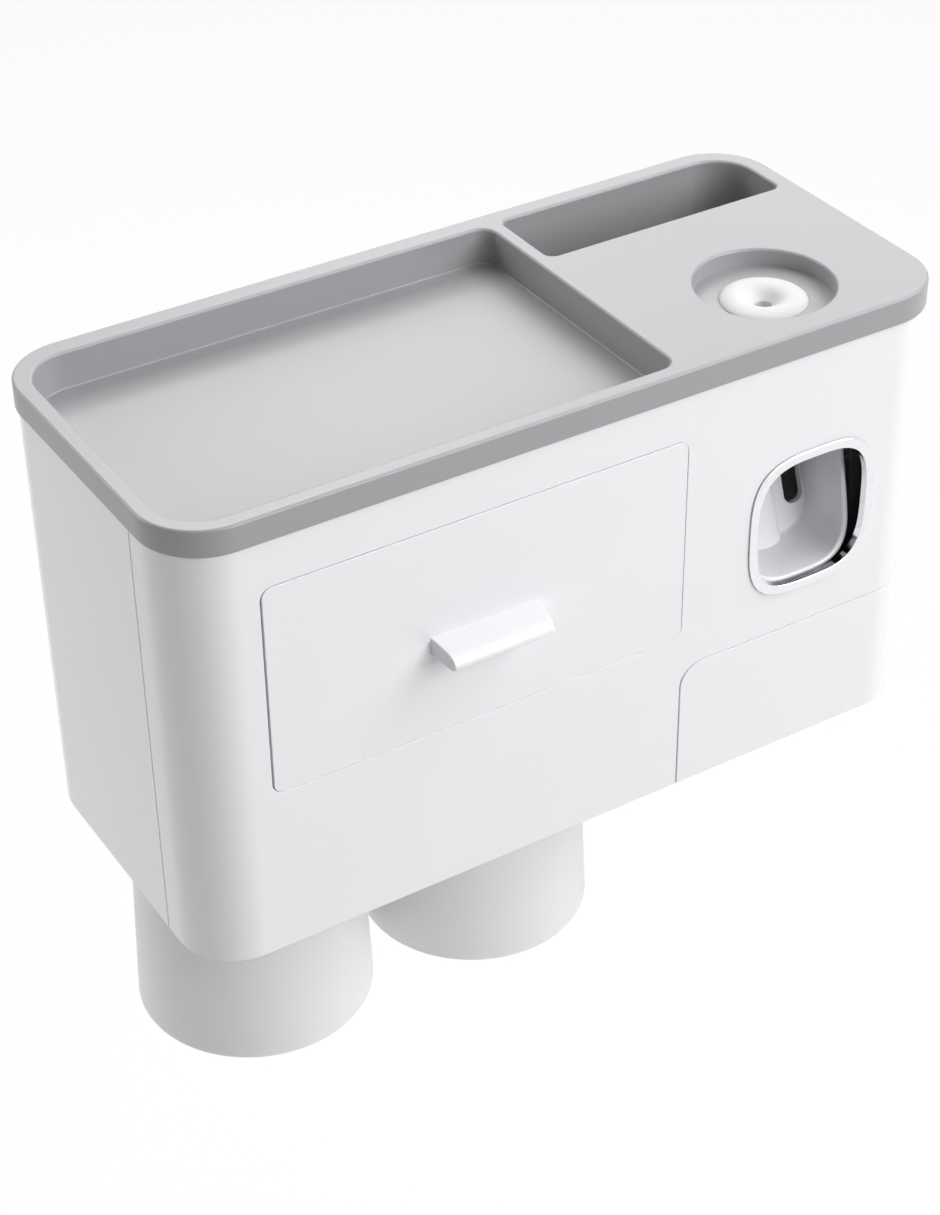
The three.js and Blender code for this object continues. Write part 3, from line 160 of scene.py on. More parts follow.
# Scoop, measured from its pivot; slope and tilt in degrees
PIVOT = (PUMP_X, -92.5, 43.0)
SCOOP_HALF = (19.2, 19.8)
SCOOP_RIM = -3.8
SCOOP_BACK = 17.16
SCOOP_MIDDLE = -30.2
SCOOP_DEPTH = 18.0
SCOOP_RISE = 4.0
SCOOP_SKIN = 2.0
SCOOP_SLOPE = 8.5
SCOOP_TILT = 11.0
RIB_HALF = 6.5
ARM_INNER = 17.25
ARM_THICK = 1.9
FORK_REACH = 12.0

# Drawer: its middle, its opening, the panel, and the slits left, right, below and above the panel
DRAWER_X = -33.5
DRAWER_WIDE = (-100.5, 33.5)
DRAWER_HIGH = (-8.3, 58.9)
DRAWER_CORNER = 3.8
PANEL_CORNER = 3.0
DRAWER_SLITS = (0.6, 0.18, 0.12, 0.3)

# Brush bay: its opening, the slits left of the door and above it, and the hinge
BAY_LEFT = 33.7
BAY_TOP = -19.5
BAY_CORNER = 7.5
BAY_SLITS = (0.4, 0.25)
HINGE_X = 122.0
HINGE_Y = -86.2
KNUCKLE = 2.0
KNUCKLE_GAP = 0.4
KNUCKLE_HEIGHT = 6.0
KNUCKLE_LOWS = (-56.0, -33.0)

CUP_PLACES = {"left": -86.7, "right": -8.5}
CUP_Y = -59.3

# Studio, in metres, watts and degrees: each lamp's name, place, width and height, and power
LAMP_TARGET = (0.0, -0.05, -0.02)
LAMPS = (
    ("key_softbox", (0.42, -1.3, 0.72), (0.9, 0.9), 14.2),
    ("top_softbox", (0.0, -0.05, 1.3), (1.0, 1.0), 1.5),
    ("right_softbox", (0.9, -0.5, 1.0), (0.9, 0.9), 11.0),
    ("left_softbox", (-1.15, 0.8, 0.4), (0.8, 0.9), 8.8),
    ("back_softbox", (0.1, 0.8, 1.1), (1.0, 0.8), 10.9),
    ("rim_softbox", (0.9, 0.9, 0.75), (0.9, 0.8), 3.8),
)
AIR_FILL = 0.01
FLOOR_WIDTH = 24.0
FLOOR_GLOW = 0.92
CAMERA_PLACE = (-0.340, -0.6033, 0.4413)
CAMERA_TURN = (54.6217, 0.6413, -31.8556)
CAMERA_LENS = 78.112
CAMERA_SENSOR = 36.0

# Sockets of a colour mix
MIX_A = 6
MIX_B = 7
MIX_RESULT = 2

# How far light runs inside a waxy plastic, in metres
SCATTER_DEPTH = 0.004


def linear(code):
    """Linear red, green and blue of an sRGB hex colour."""
    parts = [int(code[i:i + 2], 16) / 255 for i in (0, 2, 4)]
    return [c / 12.92 if c <= 0.04045 else ((c + 0.055) / 1.055) ** 2.4 for c in parts]


def colour_setting(name, description, code):
    """A colour that the user can change."""
    return FloatVectorProperty(
        name=name,
        description=description,
        default=linear(code),
        min=0.0,
        max=1.0,
        size=3,
        subtype="COLOR",
    )


def length_setting(name, description, size):
    """A length in millimetres, kept in metres."""
    return FloatProperty(name=name, description=description, default=size * MM, min=0.0, unit="LENGTH")


class HolderSizes(bpy.types.PropertyGroup):
    """Sizes that a user would change without touching the solids."""

    tray_edge: length_setting("Tray edge", "Rounding of the tray's rims", 0.9)
    pan_fillet: length_setting("Pan fillet", "Rounding between the pan's walls and floor", 0.3)
    case_edge: length_setting("Casing edge", "Rounding of the casing's openings and edges", 0.22)
    window_width: length_setting("Window width", "Clear width of the dispenser window", 39.0)
    window_height: length_setting("Window height", "Clear height of the dispenser window", 42.0)
    ring_face: length_setting("Ring face", "Width of the bright ring round the window", 2.9)
    cup_mouth: length_setting("Cup mouth", "Outer radius of a cup at its mouth", 36.0)
    cup_base: length_setting("Cup base", "Outer radius of a cup at its base", 32.0)
    floor_drop: length_setting("Floor drop", "Floor below the holder's origin", 420.0)


class HolderColours(bpy.types.PropertyGroup):
    """Colours of the finishes."""

    casing: colour_setting("Casing", "Polished white ABS", "EDEDF0")
    tray: colour_setting("Tray", "Satin grey ABS", "9E9EA1")
    inner: colour_setting("Inner parts", "Plain white ABS inside the casing", "E2E2E5")
    # Painted shade: the frame behind the window is coloured charcoal to stand for the shade that falls
    # there
    dark: colour_setting("Window frame", "Charcoal ABS behind the window", "3A3A3C")
    cups: colour_setting("Cups", "Satin white polypropylene", "E8E8E9")
    silicone: colour_setting("Silicone", "Soft white silicone", "D5D5D6")
    ring: colour_setting("Window ring", "Bright plating", "F0F0F2")
    steel: colour_setting("Steel", "Stainless screws, pins and spring", "B9BBBE")
    magnet: colour_setting("Magnets", "Nickel-plated magnets", "9A9CA0")
    foam: colour_setting("Tape", "Foam tape on the wall plate", "D9D9D4")
    floor: colour_setting("Floor", "Studio floor", "F7F7F7")


# Workshop: primitives, selections and finishing


def deselect():
    """Nothing selected, in object mode."""
    if bpy.context.mode != "OBJECT":
        bpy.ops.object.mode_set(mode="OBJECT")
    bpy.ops.object.select_all(action="DESELECT")


def hold(obj):
    """obj alone selected and active."""
    deselect()
    obj.select_set(True)
    bpy.context.view_layer.objects.active = obj


def settle(obj, name):
    """Names a new object and puts its place into its mesh."""
    obj.name = name
    obj.data.name = name
    hold(obj)
    bpy.ops.object.transform_apply(location=True, rotation=True, scale=True)
    return obj


def block(name, x, y, z):
    """A cube stretched over three ranges in millimetres."""
    deselect()
    spans = (x, y, z)
    middle = [(a + b) / 2 * MM for a, b in spans]
    size = [(b - a) * MM for a, b in spans]
    bpy.ops.mesh.primitive_cube_add(size=1.0, location=middle, scale=size)
    return settle(bpy.context.active_object, name)


def rod(name, radius, centre, length, turn=(0.0, 0.0, 0.0), sides=SMALL_ROUND):
    """A cylinder about Z, then turned by degrees."""
    deselect()
    bpy.ops.mesh.primitive_cylinder_add(
        vertices=sides,
        radius=radius * MM,
        depth=length * MM,
        location=[c * MM for c in centre],
        rotation=[math.radians(a) for a in turn],
    )
    return settle(bpy.context.active_object, name)


def soften(obj, test, width, segments):
    """Bevels the edges that pass the test to a round of that width."""
    hold(obj)
    bpy.ops.object.mode_set(mode="EDIT")
    bpy.ops.mesh.select_mode(type="EDGE")
    bpy.ops.mesh.select_all(action="DESELECT")
    mesh = bmesh.from_edit_mesh(obj.data)
    chosen = [edge for edge in mesh.edges if test(edge)]
    if not chosen:
        raise RuntimeError(f"no edge to soften on {obj.name}")
    for edge in chosen:
        edge.select_set(True)
    bmesh.update_edit_mesh(obj.data)
    bpy.ops.mesh.bevel(
        offset=width * MM, segments=segments, profile=0.5, affect="EDGES", clamp_overlap=False
    )
    bpy.ops.object.mode_set(mode="OBJECT")


def runs(edge, axis):
    """The edge is straight along an axis."""
    step = edge.verts[1].co - edge.verts[0].co
    return step.length > 0 and abs(step[axis]) > STRAIGHT * step.length


def lies(edge, axis, wanted):
    """Both ends of the edge are at that place along an axis."""
    return all(abs(v.co[axis] / MM - wanted) < SLACK for v in edge.verts)


def sharp(edge):
    """The edge's two faces meet at a clear angle."""
    return edge.is_manifold and edge.calc_face_angle() > math.radians(SHARP_ABOVE)


def on_skin(edge):
    """The edge is on the casing's outer skin: the front face, a corner round or a side."""
    round_x, round_y = SIDE - CASE_CORNER, FRONT + CASE_CORNER
    for v in edge.verts:
        x, y = abs(v.co.x) / MM, v.co.y / MM
        if x > round_x and y < round_y:
            if math.hypot(x - round_x, y - round_y) < CASE_CORNER - SKIN_SLACK:
                return False
        elif x < SIDE - SKIN_SLACK and y > FRONT + SKIN_SLACK:
            return False
    return True


def carve(obj, tool, operation="DIFFERENCE"):
    """Cuts a tool out of obj, or joins it on, and clears the tool away."""
    hold(obj)
    modifier = obj.modifiers.new("carve", "BOOLEAN")
    modifier.operation = operation
    modifier.solver = "EXACT"
    modifier.object = tool
    bpy.ops.object.modifier_apply(modifier=modifier.name)
    bpy.data.objects.remove(tool)
    return obj


def weld(obj, tool):
    """Joins a tool onto obj."""
    return carve(obj, tool, "UNION")


def neighbours(vert):
    """The vertices at the far ends of a vertex's edges."""
    return [edge.other_vert(vert) for edge in vert.link_edges]


def swept(name, rings, closed=False):
    """A skin through rings of points, each ring extruded from the last one. The ends are filled, or
    bridged to each other where the sweep is closed."""
    count = len(rings[0])
    deselect()
    bpy.ops.mesh.primitive_circle_add(vertices=count, radius=MM)
    obj = bpy.context.active_object
    bpy.ops.object.mode_set(mode="EDIT")
    bpy.ops.mesh.select_mode(type="EDGE")
    mesh = bmesh.from_edit_mesh(obj.data)
    mesh.verts.ensure_lookup_table()
    order = {}
    vert = mesh.verts[0]
    for i in range(count):
        vert.co = Vector(rings[0][i]) * MM
        order[vert.index] = i
        vert = next((other for other in neighbours(vert) if other.index not in order), None)
    bmesh.update_edit_mesh(obj.data)
    for ring in rings[1:]:
        bpy.ops.mesh.extrude_edges_move(TRANSFORM_OT_translate={"value": (0.0, 0.0, 0.0)})
        mesh = bmesh.from_edit_mesh(obj.data)
        mesh.verts.index_update()
        fresh = {}
        for vert in mesh.verts:
            if vert.select:
                root = next(other for other in neighbours(vert) if not other.select)
                fresh[vert.index] = order[root.index]
                vert.co = Vector(ring[order[root.index]]) * MM
        order = fresh
        bmesh.update_edit_mesh(obj.data)
    bpy.ops.mesh.select_all(action="DESELECT")
    bpy.ops.mesh.select_non_manifold()
    if closed:
        bpy.ops.mesh.bridge_edge_loops()
    else:
        bpy.ops.mesh.fill_holes(sides=0)
    bpy.ops.mesh.select_all(action="SELECT")
    bpy.ops.mesh.normals_make_consistent(inside=False)
    return settle(obj, name)


def arc(centre_a, centre_b, radius, start, end, steps):
    """Points of a round from one angle to another, in degrees."""
    turns = [math.radians(start + (end - start) * i / steps) for i in range(steps + 1)]
    return [(centre_a + radius * math.cos(t), centre_b + radius * math.sin(t)) for t in turns]


def bend(start, pull, end, steps):
    """Points of a curve from start to end, drawn towards a third point."""
    points = []
    for i in range(steps + 1):
        t = i / steps
        shares = ((1 - t) ** 2, 2 * t * (1 - t), t * t)
        points.append(tuple(sum(w * p[k] for w, p in zip(shares, (start, pull, end))) for k in (0, 1)))
    return points


def turned(name, profile, x, y, closed=False):
    """A profile of radius and height swept round an upright axis."""
    turns = [2 * math.pi * i / ROUND for i in range(ROUND)]
    rings = [[(x + r * math.cos(t), y + r * math.sin(t), z) for t in turns] for r, z in profile]
    return swept(name, rings, closed)


def oval(half_width, half_height):
    """Points of the window's squarish oval, about its middle."""
    points = []
    for i in range(ROUND):
        turn = 2 * math.pi * i / ROUND
        c, s = math.cos(turn), math.sin(turn)
        across = math.copysign(abs(c) ** (2 / WINDOW_POWER), c) * half_width
        points.append((across, math.copysign(abs(s) ** (2 / WINDOW_POWER), s) * half_height))
    return points


def window_ring(sizes, grow, y):
    """The window's outline on the casing, grown by a distance, at one depth."""
    half_width = sizes.window_width / MM / 2 + grow
    half_height = sizes.window_height / MM / 2 + grow
    return [(PUMP_X + a, y, WINDOW_Z + b) for a, b in oval(half_width, half_height)]


def repeated(obj, name, shift):
    """A copy of a piece with its own mesh, moved sideways."""
    hold(obj)
    bpy.ops.object.duplicate()
    twin = bpy.context.active_object
    twin.location.x = shift * MM
    return settle(twin, name)


def copied(node, name):
    """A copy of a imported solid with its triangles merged."""
    hold(frame["nodes"][node])
    bpy.ops.object.duplicate()
    obj = bpy.context.active_object
    bpy.ops.object.parent_clear(type="CLEAR_KEEP_TRANSFORM")
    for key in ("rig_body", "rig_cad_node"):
        del obj[key]
    obj.data.materials.clear()
    bpy.ops.object.mode_set(mode="EDIT")
    bpy.ops.mesh.select_all(action="SELECT")
    bpy.ops.mesh.remove_doubles(threshold=MERGE * MM)
    return settle(obj, name)


def eased(node, name, width, segments=2):
    """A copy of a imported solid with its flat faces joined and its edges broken."""
    obj = copied(node, name)
    bpy.ops.object.mode_set(mode="EDIT")
    bpy.ops.mesh.select_all(action="SELECT")
    bpy.ops.mesh.dissolve_limited(angle_limit=math.radians(FLAT_BELOW))
    bpy.ops.object.mode_set(mode="OBJECT")
    modifier = obj.modifiers.new("broken edges", "BEVEL")
    modifier.width = width * MM
    modifier.segments = segments
    modifier.limit_method = "ANGLE"
    modifier.angle_limit = math.radians(BROKEN_ABOVE)
    modifier.use_clamp_overlap = False
    bpy.ops.object.modifier_apply(modifier=modifier.name)
    return settle(obj, name)


def shade(obj):
    """Smooth rounds, with flat faces kept flat."""
    hold(obj)
    bpy.ops.object.shade_smooth_by_angle(angle=math.radians(SMOOTH_BELOW))
    modifier = obj.modifiers.new("even shading", "WEIGHTED_NORMAL")
    modifier.keep_sharp = True
    modifier.weight = 100
    bpy.ops.object.modifier_apply(modifier=modifier.name)


def fit(obj, finish, body, slot, *nodes):
    """Finishes a piece and puts it in the place of its solids."""
    shade(obj)
    obj.data.materials.clear()
    obj.data.materials.append(finish)
    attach(obj, body)
    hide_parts(*nodes)
    return obj


def dress(finish, *nodes):
    """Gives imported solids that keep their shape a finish."""
    for node in nodes:
        materials = frame["nodes"][node].data.materials
        materials.clear()
        materials.append(finish)


# Finishes


def add(tree, kind, inputs=None, **settings):
    """Adds a node with its settings, values and links."""
    node = tree.nodes.new(kind)
    for key, value in settings.items():
        setattr(node, key, value)
    for key, value in (inputs or {}).items():
        if isinstance(value, bpy.types.NodeSocket):
            tree.links.new(value, node.inputs[key])
        else:
            node.inputs[key].default_value = value
    return node


def new_material(name):
    """A material with an empty node tree, and that tree."""
    material = bpy.data.materials.new(name)
    material.use_nodes = True
    material.node_tree.nodes.clear()
    return material, material.node_tree


def opaque(colour, gain=1.0):
    """Red, green, blue and alpha of a colour, made a little lighter or darker."""
    return [min(1.0, c * gain) for c in colour] + [1.0]


def plastic(name, colour, rough, patch, grain, relief, spread, scatter=0.0, ior=1.53):
    """A moulded plastic: a slow change of tone and gloss over patches, and a fine grain in its relief.
    patch and grain are sizes in millimetres."""
    material, tree = new_material(name)
    place = add(tree, "ShaderNodeTexCoord").outputs["Object"]
    slow = add(tree, "ShaderNodeTexNoise", {"Vector": place, "Scale": 1 / (patch * MM), "Detail": 3.0})
    fine = add(tree, "ShaderNodeTexNoise", {"Vector": place, "Scale": 1 / (grain * MM), "Detail": 2.0})
    tone = add(
        tree,
        "ShaderNodeMix",
        {
            "Factor": slow.outputs["Fac"],
            MIX_A: opaque(colour, 1 - spread),
            MIX_B: opaque(colour, 1 + spread),
        },
        data_type="RGBA",
    )
    gloss = add(
        tree,
        "ShaderNodeMapRange",
        {"Value": slow.outputs["Fac"], "To Min": rough * 0.88, "To Max": rough * 1.12},
    )
    bump = add(
        tree,
        "ShaderNodeBump",
        {"Height": fine.outputs["Fac"], "Strength": relief, "Distance": grain * MM / 4},
    )
    look = {
        "Base Color": tone.outputs[MIX_RESULT],
        "Roughness": gloss.outputs["Result"],
        "Normal": bump.outputs["Normal"],
        "IOR": ior,
    }
    if scatter:
        look["Subsurface Weight"] = scatter
        look["Subsurface Radius"] = (SCATTER_DEPTH, SCATTER_DEPTH, SCATTER_DEPTH)
        look["Subsurface Scale"] = 1.0
    shader = add(tree, "ShaderNodeBsdfPrincipled", look)
    add(tree, "ShaderNodeOutputMaterial", {"Surface": shader.outputs["BSDF"]})
    return material


def metal(name, colour, rough, grain, stretch, relief):
    """A bare or plated metal: fine marks of a grain in millimetres, drawn out along one axis."""
    material, tree = new_material(name)
    place = add(tree, "ShaderNodeTexCoord").outputs["Object"]
    drawn = add(tree, "ShaderNodeMapping", {"Vector": place, "Scale": stretch}).outputs["Vector"]
    marks = add(tree, "ShaderNodeTexNoise", {"Vector": drawn, "Scale": 1 / (grain * MM), "Detail": 3.0})
    tone = add(
        tree,
        "ShaderNodeMix",
        {"Factor": marks.outputs["Fac"], MIX_A: opaque(colour, 0.95), MIX_B: opaque(colour, 1.05)},
        data_type="RGBA",
    )
    gloss = add(
        tree,
        "ShaderNodeMapRange",
        {"Value": marks.outputs["Fac"], "To Min": rough * 0.7, "To Max": rough * 1.3},
    )
    bump = add(
        tree,
        "ShaderNodeBump",
        {"Height": marks.outputs["Fac"], "Strength": relief, "Distance": grain * MM / 5},
    )
    shader = add(
        tree,
        "ShaderNodeBsdfPrincipled",
        {
            "Base Color": tone.outputs[MIX_RESULT],
            "Metallic": 1.0,
            "Roughness": gloss.outputs["Result"],
            "Normal": bump.outputs["Normal"],
        },
    )
    add(tree, "ShaderNodeOutputMaterial", {"Surface": shader.outputs["BSDF"]})
    return material


FINISHES = {}


def finishes():
    """All finishes, made once from the scene's colours."""
    if FINISHES:
        return FINISHES
    colours = bpy.context.scene.holder_colours
    # ABS moulded in a polished tool: a clear gloss over a very slight orange peel, nearly even in tone
    FINISHES["casing"] = plastic(
        "polished_white_abs", colours.casing, rough=0.2, patch=60.0, grain=1.2, relief=0.02, spread=0.008
    )
    # ABS from a spark-eroded tool: grain of 0.2 mm, drawn at 0.5 mm so that it shows, with a satin gloss
    FINISHES["tray"] = plastic(
        "satin_grey_abs", colours.tray, rough=0.34, patch=45.0, grain=0.5, relief=0.05, spread=0.015
    )
    # ABS straight from a plain tool: duller, with faint flow marks
    FINISHES["inner"] = plastic(
        "plain_white_abs", colours.inner, rough=0.45, patch=25.0, grain=0.8, relief=0.06, spread=0.02
    )
    # Painted shade: the frame behind the window, hardly lit there, is given dull charcoal from a plain
    # tool so that it reads dark
    FINISHES["dark"] = plastic(
        "painted_shade_charcoal", colours.dark, rough=0.5, patch=25.0, grain=0.8, relief=0.06, spread=0.03
    )
    # Polypropylene: waxy, slightly see-through at thin walls
    FINISHES["cups"] = plastic(
        "satin_polypropylene", colours.cups, rough=0.48, patch=30.0, grain=0.6, relief=0.04, spread=0.012,
        scatter=0.4, ior=1.49
    )
    # Silicone pressed in a matt tool: soft, without a sharp highlight
    FINISHES["silicone"] = plastic(
        "soft_silicone", colours.silicone, rough=0.6, patch=12.0, grain=0.4, relief=0.05, spread=0.012,
        scatter=0.2, ior=1.41
    )
    # Electroplated ABS: mirror bright with a trace of haze
    FINISHES["ring"] = metal(
        "bright_plating", colours.ring, rough=0.07, grain=2.0, stretch=(1.0, 1.0, 1.0), relief=0.01
    )
    # Drawn and turned stainless steel: fine marks round and along the wire
    FINISHES["steel"] = metal(
        "stainless_steel", colours.steel, rough=0.32, grain=0.4, stretch=(1.0, 1.0, 0.15), relief=0.08
    )
    # Nickel-plated magnet discs: a dull bright skin
    FINISHES["magnet"] = metal(
        "nickel_plate", colours.magnet, rough=0.3, grain=0.5, stretch=(1.0, 1.0, 1.0), relief=0.05
    )
    # Foam tape: matt, with open cells of about half a millimetre
    FINISHES["foam"] = plastic(
        "foam_tape", colours.foam, rough=0.9, patch=4.0, grain=0.6, relief=0.6, spread=0.04
    )
    return FINISHES


# Pieces


class MakeTray(bpy.types.Operator):
    """The grey tray: band, pan, phone pocket and round inlet"""

    bl_idname = "holder.make_tray"
    bl_label = "Tray"

    def execute(self, context):
        sizes = context.scene.holder_sizes
        band = self.outline("tray_moulding", 0.0, BAND_LOW, TRAY_TOP, 20)
        carve(band, self.outline("tool", BAND_THICK, BAND_LOW - 2, DECK_LOW, 16))
        # The skirt, the pan, the pocket and the collar run a little way up into the deck
        skirt = self.outline("tool", SKIRT_INSET, SKIRT_LOW, DECK_LOW + 0.6, 16)
        carve(skirt, self.outline("tool", SKIRT_INSET + SKIRT_THICK, 60.0, 90.0, 16))
        weld(band, skirt)
        weld(band, self.pan_shell())
        weld(band, self.pocket(SLOT_WALL, SLOT_FLOOR - SLOT_WALL, DECK_LOW + 0.7))
        weld(band, self.disc(INLET_RADIUS + INLET_WALL, 74.4, DECK_LOW + 0.5))
        carve(band, self.pan_space(sizes))
        slot = self.pocket(0.0, SLOT_FLOOR, TRAY_TOP + 4)
        soften(slot, lambda e: lies(e, Z, SLOT_FLOOR), 1.5, 3)
        carve(band, slot)
        carve(band, self.disc(INLET_RADIUS, INLET_FLOOR, INLET_FLOOR + 20))
        carve(band, self.disc(DOME_HOLE, INLET_FLOOR - 10, INLET_FLOOR + 10))
        soften(band, lambda e: lies(e, Z, TRAY_TOP) and sharp(e), sizes.tray_edge / MM, 4)
        soften(band, self.lower_edge, 0.4, 2)
        fit(band, finishes()["tray"], "housing", "grey_plastic", "top_tray")
        return {"FINISHED"}

    def outline(self, name, inset, low, high, segments):
        """A block of the tray's outline, set in all round."""
        wide = (inset - TRAY_SIDE, TRAY_SIDE - inset)
        deep = (TRAY_FRONT + inset, TRAY_BACK - inset)
        shape = block(name, wide, deep, (low, high))
        soften(shape, lambda e: runs(e, Z), TRAY_CORNER - inset, segments)
        return shape

    def disc(self, radius, low, high):
        """A round block on the pump's axis."""
        return rod("tool", radius, (PUMP_X, PUMP_Y, (low + high) / 2), high - low, sides=ROUND)

    def lower_edge(self, edge):
        """Outer edge at the foot of the band, along its sides and round its corners."""
        if not (lies(edge, Z, BAND_LOW) and sharp(edge)):
            return False
        near = 0.5
        half_depth = (TRAY_BACK - TRAY_FRONT) / 2
        sides, corners = [], []
        for v in edge.verts:
            x = abs(v.co.x / MM)
            y = abs(v.co.y / MM - (TRAY_FRONT + TRAY_BACK) / 2)
            dx, dy = x - (TRAY_SIDE - TRAY_CORNER), y - (half_depth - TRAY_CORNER)
            sides.append(x > TRAY_SIDE - near or y > half_depth - near)
            corners.append(min(dx, dy) >= 0 and math.hypot(dx, dy) >= TRAY_CORNER - near)
        return all(sides) or all(corners)

    def pan_shell(self):
        """The pan's walls and floor, before it is hollowed."""
        wide = (PAN_INSET - TRAY_SIDE, PAN_WIDE[1] + DECK)
        deep = (TRAY_FRONT + PAN_INSET, TRAY_BACK - PAN_INSET)
        shell = block("tool", wide, deep, (PAN_FLOOR - DECK, DECK_LOW + 0.8))
        soften(shell, lambda e: runs(e, Z) and e.verts[0].co.x < 0, TRAY_CORNER - PAN_INSET, 16)
        return shell

    def pan_space(self, sizes):
        """The hollow of the pan, round at its corners and foot."""
        space = block("tool", PAN_WIDE, PAN_DEEP, (PAN_FLOOR, TRAY_TOP + 4))
        soften(space, lambda e: runs(e, Z) and e.verts[0].co.x < 0, PAN_CORNER, 16)
        soften(space, lambda e: runs(e, Z) and lies(e, X, PAN_WIDE[1]), PAN_INNER_CORNER, 8)
        soften(space, lambda e: lies(e, Z, PAN_FLOOR), sizes.pan_fillet / MM, 3)
        return space

    def pocket(self, grow, low, high):
        """The phone pocket, grown by its wall or not, with a wide round at the tray's corner."""
        left, right = SLOT_WIDE[0] - grow, SLOT_WIDE[1] + grow
        front, back = SLOT_DEEP[0] - grow, SLOT_DEEP[1] + grow
        shape = block("tool", (left, right), (front, back), (low, high))
        soften(shape, lambda e: lies(e, X, right) and lies(e, Y, back), SLOT_CORNER + grow, 16)

        def inner_corner(edge):
            """One of the pocket's other three corners."""
            return runs(edge, Z) and sharp(edge) and (lies(edge, X, left) or lies(edge, Y, front))

        soften(shape, inner_corner, SLOT_INNER_CORNER + grow, 8)
        return shape


class MakeCasing(bpy.types.Operator):
    """Front cover with its three openings, and the rear housing"""

    bl_idname = "holder.make_casing"
    bl_label = "Casing"

    def execute(self, context):
        sizes = context.scene.holder_sizes
        cover = self.shell()
        opening = block("tool", DRAWER_WIDE, THROUGH_FRONT, DRAWER_HIGH)
        soften(opening, lambda e: runs(e, Y), DRAWER_CORNER, 8)
        carve(cover, opening)
        carve(cover, swept("tool", [window_ring(sizes, RING_ROOM, y) for y in THROUGH_FRONT]))
        bay = block("tool", (BAY_LEFT, SIDE + 5), (FRONT - 5, SEAM + 5), (LOW - 5, BAY_TOP))
        soften(bay, lambda e: lies(e, X, BAY_LEFT) and lies(e, Z, BAY_TOP), BAY_CORNER, 12)
        carve(cover, bay)
        self.bosses(cover)
        soften(cover, lambda e: sharp(e) and on_skin(e), sizes.case_edge / MM, 3)
        fit(cover, finishes()["casing"], "housing", "white_plastic", "front_cover")
        rear = eased("rear_housing", "rear_moulding", 0.3)
        fit(rear, finishes()["casing"], "housing", "white_plastic", "rear_housing")
        return {"FINISHED"}

    def shell(self):
        """The U-shaped wall in front of the side seams."""
        shell = block("front_moulding", (-SIDE, SIDE), (FRONT, COVER_BACK), (LOW, CASE_TOP))
        soften(shell, lambda e: runs(e, Z) and lies(e, Y, FRONT), CASE_CORNER, 24)
        inner, behind = SIDE - WALL, FRONT + WALL
        space = block("tool", (-inner, inner), (behind, SEAM + 5), (LOW - 5, CASE_TOP + 5))
        soften(space, lambda e: runs(e, Z) and lies(e, Y, behind), CASE_CORNER - WALL, 24)
        return carve(shell, space)

    def bosses(self, cover):
        """Screw bosses for the dispenser frame and tabs on the shelf."""
        boss, hole = 3.4, 1.5
        for x in (PUMP_X - BOSS_SPREAD, PUMP_X + BOSS_SPREAD):
            for z in BOSS_HEIGHTS:
                weld(cover, rod("tool", boss, (x, -103.85, z), 5.5, ALONG_Y))
                carve(cover, rod("tool", hole, (x, -103.2, z), 5.2, ALONG_Y))
        for x in (-TAB_SPREAD, TAB_SPREAD):
            tab = block("tool", (x - 4.5, x + 4.5), (-104.2, -93.1), (-10.2, -4.2))
            carve(tab, rod("tool", hole, (x, -97.0, -8.2), 6.0))
            weld(cover, tab)


